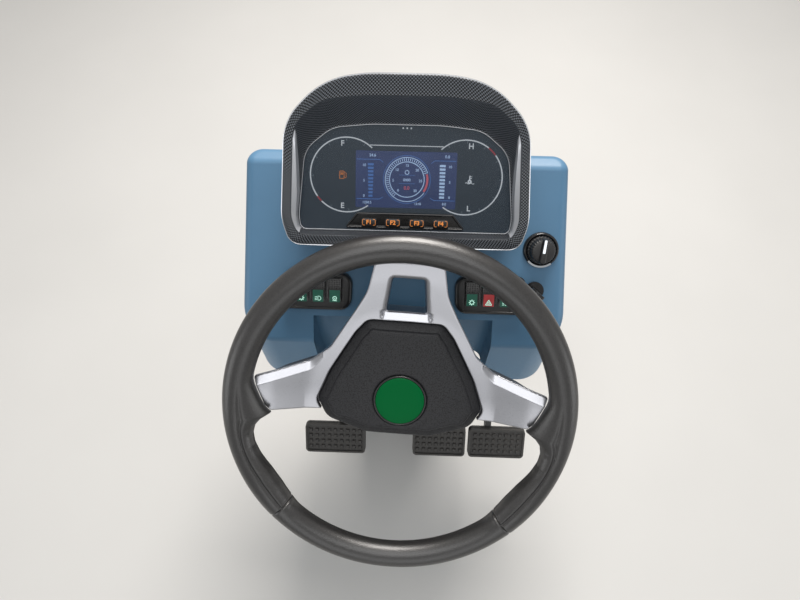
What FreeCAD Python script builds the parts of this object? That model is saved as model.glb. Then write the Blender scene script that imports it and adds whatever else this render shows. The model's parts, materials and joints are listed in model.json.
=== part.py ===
"""Steering console of a farm tractor: floor frame, moulded console, instrument binnacle,
switches, inclined column, three-spoke steering wheel and three hanging pedals.

Frame: +Z up, +Y towards the front of the tractor, +X to the driver's right, millimetres.
The origin is the middle of the floor flange, on its underside.

Two more frames help to write sizes down:
  deck frame   x across, a up the slope of the deck, n square to it, from the rim's centre
  wheel frame  the deck frame, turned about n by the angle at which the wheel stands
"""
import FreeCAD, Part
import math
import os

from FreeCAD import Placement, Rotation, Vector

# Column and deck
WHEEL_CENTRE_Y = -265.0      # middle of the rim, behind the flange's centre
WHEEL_CENTRE_Z = 600.0       # and above the floor
COLUMN_TILT = 42.0           # deck and rim plane, from level
WHEEL_TURN = -2.7            # the wheel stands a little to the right
DECK_DROP = 115.0            # deck surface, below the rim's middle plane
DECK_LOW = 42.0              # where the deck ends towards the driver, along the slope
DECK_HIGH = 270.0            # where it ends at the top

# Console head and lower shroud
HEAD_HALF_REAR = 210.0
HEAD_TAPER = 14.0            # each side of the head comes in by this much at its front
HEAD_FRONT_Y = 37.0
HEAD_BOTTOM_Z = 430.0
HEAD_WALL = 4.0
HEAD_EDGE_RADIUS = 12.0      # round all the upper edges
HEAD_FRONT_CORNER = 20.0
HEAD_REAR_CORNER = 40.0
RECESS_HALF_WIDTH = 115.0
RECESS_BACK_Y = -112.0
RECESS_TOP_Z = 566.0
TRUNK_HALF_WIDTH = 88.0
TRUNK_WALL = 4.0
TRUNK_REAR_Y = -55.0
TRUNK_KNEE_Z = 290.0
NOSE_DROP = 205.0            # plane of the collar that the column goes through
NOSE_LOW = -45.0
NOSE_HIGH = 40.0
BOOT_FOOT_R = 40.0
BOOT_FOLDS = 4
BOOT_LENGTH = 36.0
BOOT_GAP = 17.0              # between the boot's top and the shroud under the wheel
BOOT_CLEARANCE = 4.0
PANEL_MARGIN = 30.0          # service panel, in from the trunk's sides
PANEL_LOW_Z = 70.0
PANEL_BELOW_HEAD = 60.0
PANEL_THICK = 3.0

# Floor flange and frame
FLANGE_LENGTH_X = 260.0
FLANGE_LENGTH_Y = 170.0
FLANGE_THICK = 8.0
FLANGE_CORNER = 18.0
BOLT_EDGE = 20.0             # bolt's axis, in from the flange's edges
BOLT_HOLE_R = 5.5
HOSE_HOLE_HALF_X = 42.0
HOSE_HOLE_REAR_Y = -40.0
HOSE_HOLE_FRONT_Y = 22.0
POST_INNER_X = 58.0
POST_DEPTH = 22.0
POST_WIDTH = 60.0
POST_MID_Y = -15.0
POST_TOP_Z = 515.0
POST_WALL = 4.0
BEAM_WIDTH = 40.0
BEAM_HEIGHT = 30.0
BEAM_WALL = 3.0

# Pedals
PIVOT_Y = -60.0
PIVOT_Z = POST_TOP_Z - 27.0  # the pedal shaft hangs below the beam
PIVOT_R = 10.0
RUNNING_CLEARANCE = 0.05
BOSS_WALL = 7.0
SIDE_CLEARANCE = 0.5
HANGER_THICK = 6.0
PAD_MID_Y = -184.0
PAD_MID_Z = 185.0
PAD_LEAN = 43.0              # how far the pad's face looks up from level
PAD_HEIGHT = 58.0
PAD_PLATE = 5.0
PAD_RUBBER = 5.0
PAD_BORDER = 3.5
STUD_HEIGHT = 2.5
STUD_FOOT = 6.5
STUD_TOP = 4.5
STUD_PITCH = 11.0
ARM_THICK = 10.0
ARM_WIDTH = 26.0
ELBOW_FORWARD = 66.0
ELBOW_UP = 34.0
ELBOW_RADIUS = 32.0
BRAKE_X = HEAD_HALF_REAR - 34.0   # the brakes hang at the head's right wall, left of this
# name, pad's left edge, pad's right edge, arm's middle, boss's left end, boss's right end
PEDALS = [
    ("clutch", -172.0, -64.0, -105.0, -124.5, -86.5),
    ("brake_left", BRAKE_X - 155, BRAKE_X - 60.5, BRAKE_X - 72, BRAKE_X - 89.5, BRAKE_X - 57.5),
    ("brake_right", BRAKE_X - 55.5, BRAKE_X + 45, BRAKE_X - 21, BRAKE_X - 56.5, BRAKE_X - 0.5),
]
# left face of each hanger plate that carries the pedal shaft
HANGERS = [-131.0, -86.0, BRAKE_X - 96, BRAKE_X]

# Binnacle, in the deck frame
CLUSTER_A = 256.5            # line through the middles of the two dials
LIP_LOW_A = CLUSTER_A - 79.5
LIP_LOW_N = -48.0
LIP_SLOPE = 13.4             # the lip's plane rises above the deck's by this angle
LEDGE = 5.0
FIT = 0.3                    # clearance round a piece that drops into its seat
GAUGE_X = 67.0
GAUGE_R = 41.4
GAUGE_LINE = 1.6
SCREEN_WIDTH = 114.0
SCREEN_LOW = CLUSTER_A - 35.5
SCREEN_HIGH = CLUSTER_A + 27.5
KEY_COUNT = 4
KEY_PITCH = 27.3
KEY_A = CLUSTER_A - 52.0
KEY_WIDTH = 18.0
KEY_LENGTH = 9.0
CONNECTOR_HALF = 90.0        # opening in the deck behind the cluster
CONNECTOR_LOW = CLUSTER_A - 51.5
CONNECTOR_HIGH = CLUSTER_A - 6.5

# Switches, in the deck frame
ROCKER_PITCH = 21.0
ROCKER_FIRST_X = 86.0
ROCKER_COUNT = 3
ROCKER_WIDTH = 19.6
ROCKER_LENGTH = 38.0
ROCKER_A = 111.0
ROCKER_SINK = 2.0            # lower end, below the pod's top
ROCKER_RISE = 2.5            # upper end, above it
BEZEL_HEIGHT = 12.0
BEZEL_LOW = 87.0
BEZEL_HIGH = 135.0
BEZEL_NEAR = 64.0
BEZEL_CORNER = 15.0
BEZEL_FAR = 152.0
KNOB_X = 169.0
KNOB_A = 170.0
KNOB_RING_R = 22.0
KNOB_RING_HEIGHT = 6.0
KNOB_SEAT = 2.0              # the ring stands this deep in the deck
KNOB_BASE = 8.0
KNOB_CAP = 12.0
KNOB_GRIP = 6.0
KNOB_GRIP_TURN = -6.0
KNOB_SHANK_R = 8.0
KEY_SWITCH_X = 165.0
KEY_SWITCH_A = 118.0
KEY_SWITCH_R = 11.5
KEY_BARREL_R = 8.0
KEY_TURN = -40.0

# Steering wheel, in the wheel frame
RIM_R = 184.0
RIM_SECTION = 16.0
# segment start and end in degrees, section radius, radius of its centre line
RIM_SEGMENTS = [
    (-14.0, 194.0, RIM_SECTION, RIM_R),
    (194.0, 225.0, RIM_SECTION + 1.2, RIM_R - 1.2),
    (225.0, 315.0, RIM_SECTION - 1.5, RIM_R + 1.0),
    (315.0, 346.0, RIM_SECTION + 1.2, RIM_R - 1.2),
]
TRIM_THICK = 9.0
ARMATURE_THICK = 8.0
PAD_OUTLINE_GAP = 0.8
HUB_PAD_TOP = -26.0
HUB_PAD_CROWN_R = 1200.0
EMBLEM_R = 29.0
SHAFT_R = 11.0
NUT_R = 15.0
NUT_HEIGHT = 7.0
JACKET_R = 27.0
JACKET_WALL = 5.0
JACKET_TOP = -112.0
BRACKET_TOP = -323.0
BRACKET_THICK = 8.0
BRACKET_HALF = 38.0
VALVE_HALF = 40.0
VALVE_LENGTH = 60.0
SHAFT_IN_VALVE = 20.0
HOSE_X = [-24.0, -8.0, 8.0, 24.0]
HOSE_Y = 6.0
HOSE_R = 6.5
BACK_COVER_R = 52.0
BACK_COVER_BOTTOM = -92.0
SHROUD_TOP = -97.0
SHROUD_BOTTOM = BOOT_LENGTH + BOOT_GAP - NOSE_DROP

FAR = 1000.0                 # further than any piece reaches, for cutting blocks
SIN = math.sin(math.radians(COLUMN_TILT))
COS = math.cos(math.radians(COLUMN_TILT))
ACROSS = Rotation(Vector(1, 1, 1), 120)      # turns X to Y, Y to Z and Z to X


def deck_point(a, n):
    """Y and Z of a point of the deck frame."""
    return (WHEEL_CENTRE_Y + a * COS - n * SIN, WHEEL_CENTRE_Z + a * SIN + n * COS)


def on_deck(shape):
    """Moves a shape from the deck frame to the part's frame."""
    placed = shape.copy()
    placed.Placement = Placement(
        Vector(0, WHEEL_CENTRE_Y, WHEEL_CENTRE_Z), Rotation(Vector(1, 0, 0), COLUMN_TILT)
    ).multiply(shape.Placement)
    return placed


def on_wheel(shape):
    """Moves a shape from the wheel frame to the part's frame."""
    turned = shape.copy()
    turned.Placement = Placement(
        Vector(0, 0, 0), Rotation(Vector(0, 0, 1), WHEEL_TURN)
    ).multiply(shape.Placement)
    return on_deck(turned)


def rounded_wire(corners):
    """Closed wire in the XY plane through corners (x, y, radius), rounded with tangent arcs."""
    starts, mids, ends = [], [], []
    count = len(corners)
    for i, (x, y, radius) in enumerate(corners):
        here = Vector(x, y, 0)
        before = Vector(corners[i - 1][0], corners[i - 1][1], 0) - here
        after = Vector(corners[(i + 1) % count][0], corners[(i + 1) % count][1], 0) - here
        before.normalize()
        after.normalize()
        half = before.getAngle(after) / 2
        if radius <= 0:
            starts.append(here)
            mids.append(None)
            ends.append(here)
            continue
        reach = radius / math.tan(half)
        bisector = (before + after).normalize()
        starts.append(here + before * reach)
        mids.append(here + bisector * (radius / math.sin(half) - radius))
        ends.append(here + after * reach)
    edges = []
    for i in range(count):
        if mids[i] is not None:
            edges.append(Part.Arc(starts[i], mids[i], ends[i]).toShape())
        following = starts[(i + 1) % count]
        if (following - ends[i]).Length > 1e-6:
            edges.append(Part.LineSegment(ends[i], following).toShape())
    return Part.Wire(edges)


def prism(corners, low, high):
    """Rounded outline in the XY plane, as a solid from low to high."""
    face = Part.Face(rounded_wire(corners))
    face.translate(Vector(0, 0, low))
    return face.extrude(Vector(0, 0, high - low))


def side_prism(corners, left, right):
    """Outline of (y, z, radius) corners, as a solid from x = left to x = right."""
    solid = prism(corners, left, right)
    solid.Placement = Placement(Vector(), ACROSS).multiply(solid.Placement)
    return solid


def rectangle(x0, x1, y0, y1, radius):
    """Corners of a rectangle, anticlockwise, all with one radius."""
    return [(x0, y0, radius), (x1, y0, radius), (x1, y1, radius), (x0, y1, radius)]


def box(x0, x1, y0, y1, z0, z1):
    return Part.makeBox(x1 - x0, y1 - y0, z1 - z0, Vector(x0, y0, z0))


def disc(radius, low, high, x=0.0, y=0.0):
    return Part.makeCylinder(radius, high - low, Vector(x, y, low), Vector(0, 0, 1))


def ring(outer, inner, low, high, x=0.0, y=0.0):
    return disc(outer, low, high, x, y).cut(disc(inner, low - 1, high + 1, x, y))


def turned(points):
    """Solid of revolution about Z through (radius, z) points."""
    path = [Vector(r, 0, z) for r, z in points]
    face = Part.Face(Part.makePolygon(path + path[:1]))
    return face.revolve(Vector(0, 0, 0), Vector(0, 0, 1), 360)


def mirrored(corners):
    """Corners of the right half, from bottom to top, joined with their mirror images."""
    return corners + [(-x, y, r) for x, y, r in reversed(corners) if x > 0]


def grown(corners, by):
    """The outline moved outwards by a distance, as a face."""
    wire = rounded_wire(corners).makeOffset2D(by)
    return Part.Face(wire)


def slab(face, low, high):
    moved = face.copy()
    moved.translate(Vector(0, 0, low))
    return moved.extrude(Vector(0, 0, high - low))


# Floor flange and steel frame

def base_flange():
    half_x, half_y = FLANGE_LENGTH_X / 2, FLANGE_LENGTH_Y / 2
    plate = prism(rectangle(-half_x, half_x, -half_y, half_y, FLANGE_CORNER), 0, FLANGE_THICK)
    plate = plate.cut(prism(rectangle(-HOSE_HOLE_HALF_X, HOSE_HOLE_HALF_X,
                                      HOSE_HOLE_REAR_Y, HOSE_HOLE_FRONT_Y, 15), -FAR, FAR))
    for side_x in (-1, 1):
        for side_y in (-1, 1):
            plate = plate.cut(disc(BOLT_HOLE_R, -FAR, FAR,
                                   side_x * (half_x - BOLT_EDGE), side_y * (half_y - BOLT_EDGE)))
    return plate


def frame_post(side):
    """Channel upright, its open side outwards."""
    near, far = POST_INNER_X, POST_INNER_X + POST_DEPTH
    rear, front = POST_MID_Y - POST_WIDTH / 2, POST_MID_Y + POST_WIDTH / 2
    post = box(near, far, rear, front, FLANGE_THICK, POST_TOP_Z)
    post = post.cut(box(near + POST_WALL, FAR, rear + POST_WALL, front - POST_WALL, -FAR, FAR))
    return post if side > 0 else post.mirror(Vector(), Vector(1, 0, 0))


def frame_cross_beam():
    """Box tube across the posts, with the plates that hang the pedal shaft under it."""
    rear, front = POST_MID_Y - BEAM_WIDTH / 2, POST_MID_Y + BEAM_WIDTH / 2
    top = POST_TOP_Z + BEAM_HEIGHT
    beam = head_plan(HEAD_WALL, POST_TOP_Z, top).common(box(-FAR, FAR, rear, front, POST_TOP_Z, top))
    beam = beam.cut(box(-FAR, FAR, rear + BEAM_WALL, front - BEAM_WALL,
                        POST_TOP_Z + BEAM_WALL, top - BEAM_WALL))
    drop = PIVOT_R + 6
    for left in HANGERS:
        plate = side_prism(
            [(PIVOT_Y - 20, PIVOT_Z - drop, 14), (PIVOT_Y + 20, PIVOT_Z - drop, 14),
             (front, POST_TOP_Z, 0), (PIVOT_Y - 20, POST_TOP_Z, 6)],
            left, left + HANGER_THICK)
        beam = beam.fuse(plate)
    hole = Part.makeCylinder(PIVOT_R, 2 * FAR, Vector(-FAR, PIVOT_Y, PIVOT_Z), Vector(1, 0, 0))
    return beam.cut(hole).removeSplitter()


def pedal_shaft():
    left, right = HANGERS[0], HANGERS[-1] + HANGER_THICK
    shaft = Part.makeCylinder(PIVOT_R, right - left, Vector(left, PIVOT_Y, PIVOT_Z), Vector(1, 0, 0))
    for end, way in ((left, -1), (right, 1)):
        collar = Part.makeCylinder(PIVOT_R + 3, 3, Vector(end, PIVOT_Y, PIVOT_Z), Vector(way, 0, 0))
        shaft = shaft.fuse(collar)
    return shaft.removeSplitter()


# Column

def column_bracket():
    half = POST_INNER_X
    low = BRACKET_TOP - BRACKET_THICK
    plate = prism(rectangle(-half, half, -BRACKET_HALF, BRACKET_HALF, 6), low, BRACKET_TOP)
    return on_deck(plate.cut(disc(JACKET_R, -FAR, FAR)))


def column_jacket():
    return on_deck(ring(JACKET_R, JACKET_R - JACKET_WALL, BRACKET_TOP - BRACKET_THICK, JACKET_TOP))


def column_bush():
    return on_deck(ring(JACKET_R - JACKET_WALL, SHAFT_R + RUNNING_CLEARANCE, JACKET_TOP - 16, JACKET_TOP - 2))


def steering_valve():
    """Hydrostatic unit at the column's foot: one plain block with its end cover."""
    top = BRACKET_TOP - BRACKET_THICK
    half = VALVE_HALF
    body = prism(rectangle(-half, half, -half, half, 12), top - VALVE_LENGTH + 14, top)
    body = body.fuse(disc(half - 4, top - VALVE_LENGTH, top - VALVE_LENGTH + 14))
    return on_deck(body.cut(disc(SHAFT_R + RUNNING_CLEARANCE, top - SHAFT_IN_VALVE - 1, top + 1)))


def column_shroud():
    """Plastic collar under the wheel, closed round the jacket at its lower end."""
    wall = 3.0
    foot = JACKET_R + 10
    return on_deck(turned([
        (BACK_COVER_R, SHROUD_TOP), (BACK_COVER_R, SHROUD_TOP - 14), (foot, SHROUD_BOTTOM),
        (JACKET_R, SHROUD_BOTTOM), (JACKET_R, SHROUD_BOTTOM + 5), (foot - wall, SHROUD_BOTTOM + 5),
        (BACK_COVER_R - wall, SHROUD_TOP - 14), (BACK_COVER_R - wall, SHROUD_TOP)]))


def column_boot():
    """Rubber bellows from the collar of the lower shroud up to the jacket."""
    folds = BOOT_FOLDS
    pitch = BOOT_LENGTH / folds
    wall = 2.0
    foot_r, top_r = BOOT_FOOT_R, JACKET_R + 7
    outer, inner = [], []
    for i in range(folds):
        crest = foot_r + (top_r - foot_r) * i / (folds - 1)
        low = -NOSE_DROP + i * pitch
        outer += [(crest - 1, low), (crest, low + pitch / 2)]
        inner += [(crest - 1 - wall, low), (crest - wall, low + pitch / 2)]
        if i < folds - 1:
            outer.append((crest - 5, low + pitch * 0.95))
            inner.append((crest - 5 - wall, low + pitch * 0.95))
    top = -NOSE_DROP + folds * pitch
    outer += [(JACKET_R + wall, top), (JACKET_R, top)]
    inner += [(JACKET_R, top - wall * 1.5)]
    return on_deck(turned(outer + list(reversed(inner))))


# Console mouldings

def trunk_corners():
    high_y, high_z = deck_point(NOSE_HIGH, -NOSE_DROP)
    low_y, low_z = deck_point(NOSE_LOW, -NOSE_DROP)
    front = HEAD_FRONT_Y - HEAD_WALL - 2
    return [(front, FLANGE_THICK, 0), (front, HEAD_BOTTOM_Z + 4, 0), (high_y, high_z, 0),
            (low_y, low_z, 14), (TRUNK_REAR_Y, TRUNK_KNEE_Z, 60), (TRUNK_REAR_Y, FLANGE_THICK, 0)]


def lower_shroud():
    """Hollow moulding round the frame, open at the floor and at the top."""
    corners = trunk_corners()
    front = corners[0][0]
    outer = side_prism(corners, -TRUNK_HALF_WIDTH, TRUNK_HALF_WIDTH)
    plan_half = TRUNK_HALF_WIDTH
    plan = prism([(-plan_half, -FAR, 0), (plan_half, -FAR, 0), (plan_half, front, 26),
                  (-plan_half, front, 26)], 0, FAR)
    outer = outer.common(plan)
    inner_half = TRUNK_HALF_WIDTH - TRUNK_WALL
    inner = slab(grown(corners, -TRUNK_WALL), -inner_half, inner_half)
    inner.Placement = Placement(Vector(), ACROSS).multiply(inner.Placement)
    inner_plan = prism([(-inner_half, -FAR, 0), (inner_half, -FAR, 0), (inner_half, front - TRUNK_WALL, 22),
                        (-inner_half, front - TRUNK_WALL, 22)], 0, FAR)
    inner = inner.common(inner_plan)
    shell = outer.cut(inner)
    foot = prism([(-inner_half, TRUNK_REAR_Y + TRUNK_WALL, 0), (inner_half, TRUNK_REAR_Y + TRUNK_WALL, 0),
                  (inner_half, front - TRUNK_WALL, 22), (-inner_half, front - TRUNK_WALL, 22)],
                 0, FLANGE_THICK + 3 * TRUNK_WALL)
    top_rear = corners[2][0] + 2 * TRUNK_WALL
    top = prism([(-inner_half, top_rear, 0), (inner_half, top_rear, 0),
                 (inner_half, front - TRUNK_WALL, 22), (-inner_half, front - TRUNK_WALL, 22)],
                HEAD_BOTTOM_Z - 20, corners[2][1] + 10)
    shell = shell.cut(foot).cut(top)
    passage = on_deck(disc(JACKET_R + 4, -NOSE_DROP - 30, -NOSE_DROP + 10))
    return shell.cut(passage)


def service_panel():
    """Screwed cover on the side that faces the windscreen."""
    front = trunk_corners()[0][0]
    half = TRUNK_HALF_WIDTH - PANEL_MARGIN
    plate = prism(rectangle(-half, half, PANEL_LOW_Z, HEAD_BOTTOM_Z - PANEL_BELOW_HEAD, 12), 0, PANEL_THICK)
    plate.Placement = Placement(Vector(0, front + PANEL_THICK, 0), Rotation(Vector(1, 0, 0), 90))
    return plate


def head_corners(bottom_z):
    low_y, low_z = deck_point(DECK_LOW, -DECK_DROP)
    high_y, high_z = deck_point(DECK_HIGH, -DECK_DROP)
    return [(low_y, low_z, 0), (low_y, bottom_z, 0), (HEAD_FRONT_Y, bottom_z, 0),
            (HEAD_FRONT_Y, high_z, 0), (high_y, high_z, 0)]


def head_plan(inset, low, high):
    """Block with the head's outline in plan: it narrows to the front, and its corners are round."""
    rear = deck_point(DECK_LOW, -DECK_DROP)[0] + inset
    front = HEAD_FRONT_Y - inset
    rear_half = HEAD_HALF_REAR - inset
    front_half = rear_half - HEAD_TAPER
    rear_r, front_r = HEAD_REAR_CORNER - inset, HEAD_FRONT_CORNER - inset
    return prism([(-rear_half, rear, rear_r), (rear_half, rear, rear_r),
                  (front_half, front, front_r), (-front_half, front, front_r)], low, high)


def head_block(inset, bottom_z):
    """The head's outer form, or its cavity when inset by the wall, its upper edges rounded."""
    corners = head_corners(bottom_z)
    face = grown(corners, -inset) if inset else Part.Face(rounded_wire(corners))
    block = slab(face, -FAR, FAR)
    block.Placement = Placement(Vector(), ACROSS).multiply(block.Placement)
    block = block.common(head_plan(inset, 0, FAR)).Solids[0]
    upper = []
    for edge in block.Edges:
        middle = edge.valueAt((edge.FirstParameter + edge.LastParameter) / 2)
        faces = block.ancestorsOfType(edge, Part.Face)
        level = max(abs(f.normalAt(*f.Surface.parameter(middle)).z) for f in faces)
        if middle.z > bottom_z + inset + HEAD_EDGE_RADIUS and level > SIN / 2:
            upper.append(edge)
    return block.makeFillet(HEAD_EDGE_RADIUS - inset, upper)


def recess_block(extra):
    """Room for the column at the head's lower rear."""
    half = RECESS_HALF_WIDTH + extra
    radius = 14 + extra
    return prism([(-half, -FAR, 0), (half, -FAR, 0), (half, RECESS_BACK_Y + extra, radius),
                  (-half, RECESS_BACK_Y + extra, radius)], 0, RECESS_TOP_Z + extra)


def deck_openings():
    """Holes in the deck: cluster connector, rocker bodies, light switch and key switch."""
    low, high = -DECK_DROP - 2 * HEAD_WALL, -DECK_DROP + HEAD_WALL
    holes = [prism(rectangle(-CONNECTOR_HALF, CONNECTOR_HALF, CONNECTOR_LOW, CONNECTOR_HIGH, 8), low, high)]
    for side in (-1, 1):
        for i in range(ROCKER_COUNT):
            middle = side * (ROCKER_FIRST_X + i * ROCKER_PITCH)
            holes.append(box(middle - ROCKER_WIDTH / 2 + 1, middle + ROCKER_WIDTH / 2 - 1,
                             ROCKER_A - ROCKER_LENGTH / 2 + 1, ROCKER_A + ROCKER_LENGTH / 2 - 1, low, high))
    holes.append(disc(KNOB_SHANK_R, low, high, KNOB_X, KNOB_A))
    holes.append(disc(KNOB_RING_R, -DECK_DROP - KNOB_SEAT, high, KNOB_X, KNOB_A))
    holes.append(disc(KEY_BARREL_R, low, high, KEY_SWITCH_X, KEY_SWITCH_A))
    return [on_deck(hole) for hole in holes]


def head_shell():
    """Upper console moulding: sloped deck, side walls, and a recess for the column."""
    outer = head_block(0, HEAD_BOTTOM_Z).cut(recess_block(0))
    cavity = head_block(HEAD_WALL, 0).cut(recess_block(HEAD_WALL))
    shell = outer.cut(cavity)
    shroud_room = side_prism([(y, z, 0) for y, z, r in trunk_corners()],
                             -TRUNK_HALF_WIDTH - 1, TRUNK_HALF_WIDTH + 1)
    boot_room = on_deck(disc(BOOT_FOOT_R + BOOT_CLEARANCE, -FAR, -DECK_DROP - 20))
    shell = shell.cut(shroud_room).cut(boot_room)
    for hole in deck_openings():
        shell = shell.cut(hole)
    return shell


# Binnacle

def lip_n(a):
    return LIP_LOW_N + (a - LIP_LOW_A) * math.tan(math.radians(LIP_SLOPE))


def on_lip(wire):
    """Lays an outline drawn in plan on the lip's sloping plane, each point straight above itself."""
    edges = []
    for edge in wire.OrderedEdges:
        first, last = edge.ParameterRange
        points = [edge.valueAt(first + (last - first) * i / 8) for i in range(9)]
        if edge.Curve.TypeId == "Part::GeomLine":
            points = [points[0], points[-1]]
        lifted = [Vector(p.x, p.y, lip_n(p.y)) for p in points]
        if len(lifted) == 2:
            edges.append(Part.LineSegment(lifted[0], lifted[1]).toShape())
        else:
            curve = Part.BSplineCurve()
            curve.interpolate(lifted)
            edges.append(curve.toShape())
    return Part.Wire(edges)


def at_level(wire, level):
    moved = wire.copy()
    moved.translate(Vector(0, 0, level))
    return moved


def round_cluster(half):
    """Outline from its right half, given as (x, a from the dials' line, corner radius), bottom to top."""
    return mirrored([(x, CLUSTER_A + a, r) for x, a, r in half])


HOOD_LIP = round_cluster([(130, -78.5, 16), (138, -48.5, 60), (128, 55.5, 60), (86, 95.5, 90),
                          (40, 102.5, 200)])
HOOD_MOUTH = round_cluster([(120, -66.5, 12), (127.5, -48.5, 40), (119, 51.5, 37), (88, 76.5, 44),
                            (44, 81.5, 175)])
HOOD_FOOT = round_cluster([(120.5, -76.5, 16), (125.5, -48.5, 60), (125, -8.5, 46), (92, 19.5, 56),
                           (44, 22.5, 170)])
LENS_OUTLINE = round_cluster([(120, -62.5, 8), (122.5, -46.5, 40), (115, 27.5, 34), (84, 52.5, 40),
                              (40, 57, 160)])
HOUSING_OUTLINE = round_cluster([(112, -56.5, 8), (112, 21.5, 12)])
HOOD_FOOT_N = -133.0
LENS_TOP = -60.0
LENS_THICK = 2.5
PRINT_THICK = 1.0
FACE_THICK = 4.5
SEAT_N = LENS_TOP - LENS_THICK - PRINT_THICK - FACE_THICK
HOUSING_GAP = 6.0            # between the deck and the housing


def inset_outline(corners, by):
    """Corners of the outline moved inwards, each radius kept tangent."""
    moved = []
    count = len(corners)
    for i, (x, y, radius) in enumerate(corners):
        here = Vector(x, y, 0)
        into = (here - Vector(*corners[i - 1][:2], 0)).normalize()
        away = (Vector(*corners[(i + 1) % count][:2], 0) - here).normalize()
        left_in, left_out = Vector(-into.y, into.x, 0), Vector(-away.y, away.x, 0)
        shift = (left_in + left_out) * (by / (1 + left_in.dot(left_out)))
        moved.append((x + shift.x, y + shift.y, max(radius - by, 0)))
    return moved


def hood_block():
    """Outer form of the hood, between its foot and the lip's plane."""
    lip = on_lip(rounded_wire(HOOD_LIP))
    return Part.makeLoft([at_level(rounded_wire(HOOD_FOOT), HOOD_FOOT_N), lip], True, True)


def mouth_block():
    """The flared recess from the lip down to the lens."""
    lens = rounded_wire(LENS_OUTLINE)
    mouth = on_lip(rounded_wire(HOOD_MOUTH))
    flare = Part.makeLoft([at_level(lens, LENS_TOP), mouth], True, True)
    cap = Part.Face(mouth).extrude(Vector(0, 0, FAR))
    return flare, cap


def key_bar_outline(gap):
    """Outline of the key bar, longer at its lower side, moved outwards by a gap."""
    long_half = KEY_PITCH * KEY_COUNT / 2 + 15
    short_half = KEY_PITCH * KEY_COUNT / 2 + 0.5
    return inset_outline(mirrored([(long_half, KEY_A - 7, 3), (short_half, KEY_A + 11, 5)]), -gap)


def binnacle_hood():
    """Hood over the instrument: a thick lip, a flared mouth and the seat of the cluster."""
    flare, cap = mouth_block()
    seat = prism(LENS_OUTLINE, SEAT_N, LENS_TOP + 0.01)
    pocket = prism(HOUSING_OUTLINE, HOOD_FOOT_N, SEAT_N + 0.01)
    hood = hood_block().cut(flare).cut(cap).cut(seat).cut(pocket)
    return on_deck(hood).cut(head_block(0, HEAD_BOTTOM_Z))


def cluster_housing():
    return on_deck(prism(HOUSING_OUTLINE, -DECK_DROP + HOUSING_GAP, SEAT_N))


def cluster_face():
    return on_deck(prism(LENS_OUTLINE, SEAT_N, SEAT_N + FACE_THICK))


def print_levels():
    return SEAT_N + FACE_THICK, SEAT_N + FACE_THICK + PRINT_THICK


def lcd_screen():
    low, high = print_levels()
    return on_deck(box(-SCREEN_WIDTH / 2, SCREEN_WIDTH / 2, SCREEN_LOW, SCREEN_HIGH, low, high))


def gauge_rings():
    """Two rings round the dials, cut short where the screen begins."""
    low, high = print_levels()
    rings = None
    for side in (-1, 1):
        piece = ring(GAUGE_R + GAUGE_LINE / 2, GAUGE_R - GAUGE_LINE / 2, low, high, side * GAUGE_X, CLUSTER_A)
        rings = piece if rings is None else rings.fuse(piece)
    reach = SCREEN_WIDTH / 2 + 1.5
    return on_deck(rings.cut(box(-reach, reach, -FAR, FAR, -FAR, FAR)))


def function_key_bar():
    low, high = print_levels()
    return on_deck(prism(key_bar_outline(0), low, LENS_TOP + 2))


def function_keys():
    keys = None
    for i in range(KEY_COUNT):
        middle = (i - (KEY_COUNT - 1) / 2) * KEY_PITCH
        key = prism(rectangle(middle - KEY_WIDTH / 2, middle + KEY_WIDTH / 2,
                              KEY_A - KEY_LENGTH / 2, KEY_A + KEY_LENGTH / 2, 2),
                    LENS_TOP + 2, LENS_TOP + 3.2)
        keys = key if keys is None else keys.fuse(key)
    return on_deck(keys)


def cluster_lens():
    lens = prism(LENS_OUTLINE, LENS_TOP - LENS_THICK, LENS_TOP)
    return on_deck(lens.cut(prism(key_bar_outline(FIT), -FAR, FAR)))


# Switches on the deck

def rocker_places(side):
    return [side * (ROCKER_FIRST_X + i * ROCKER_PITCH) for i in range(ROCKER_COUNT)]


def switch_bezel(side):
    low, high = -DECK_DROP, -DECK_DROP + BEZEL_HEIGHT
    corners = [(BEZEL_NEAR + 2, BEZEL_LOW, BEZEL_CORNER), (BEZEL_FAR, BEZEL_LOW, BEZEL_CORNER / 2),
               (BEZEL_FAR, BEZEL_HIGH, BEZEL_CORNER / 2), (BEZEL_NEAR, BEZEL_HIGH, BEZEL_CORNER)]
    plate = prism(corners, low, high)
    if side < 0:
        plate = plate.mirror(Vector(), Vector(1, 0, 0))
    for middle in rocker_places(side):
        plate = plate.cut(box(middle - ROCKER_WIDTH / 2, middle + ROCKER_WIDTH / 2,
                              ROCKER_A - ROCKER_LENGTH / 2, ROCKER_A + ROCKER_LENGTH / 2, -FAR, FAR))
    return on_deck(plate)


def rockers(side):
    """Three rockers, each with its lower end pressed in a little."""
    half = ROCKER_LENGTH / 2
    top = -DECK_DROP + BEZEL_HEIGHT
    row = None
    for middle in rocker_places(side):
        body = side_prism([(ROCKER_A + half, -DECK_DROP, 0), (ROCKER_A + half, top + ROCKER_RISE, 1.5),
                           (ROCKER_A, top - ROCKER_SINK / 2, 30), (ROCKER_A - half, top - ROCKER_SINK, 0),
                           (ROCKER_A - half, -DECK_DROP, 0)],
                          middle - ROCKER_WIDTH / 2, middle + ROCKER_WIDTH / 2)
        row = body if row is None else row.fuse(body)
    return on_deck(row)


def light_switch_ring():
    low = -DECK_DROP - KNOB_SEAT
    return on_deck(ring(KNOB_RING_R, KNOB_RING_R - 4, low, -DECK_DROP + KNOB_RING_HEIGHT, KNOB_X, KNOB_A))


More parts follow.
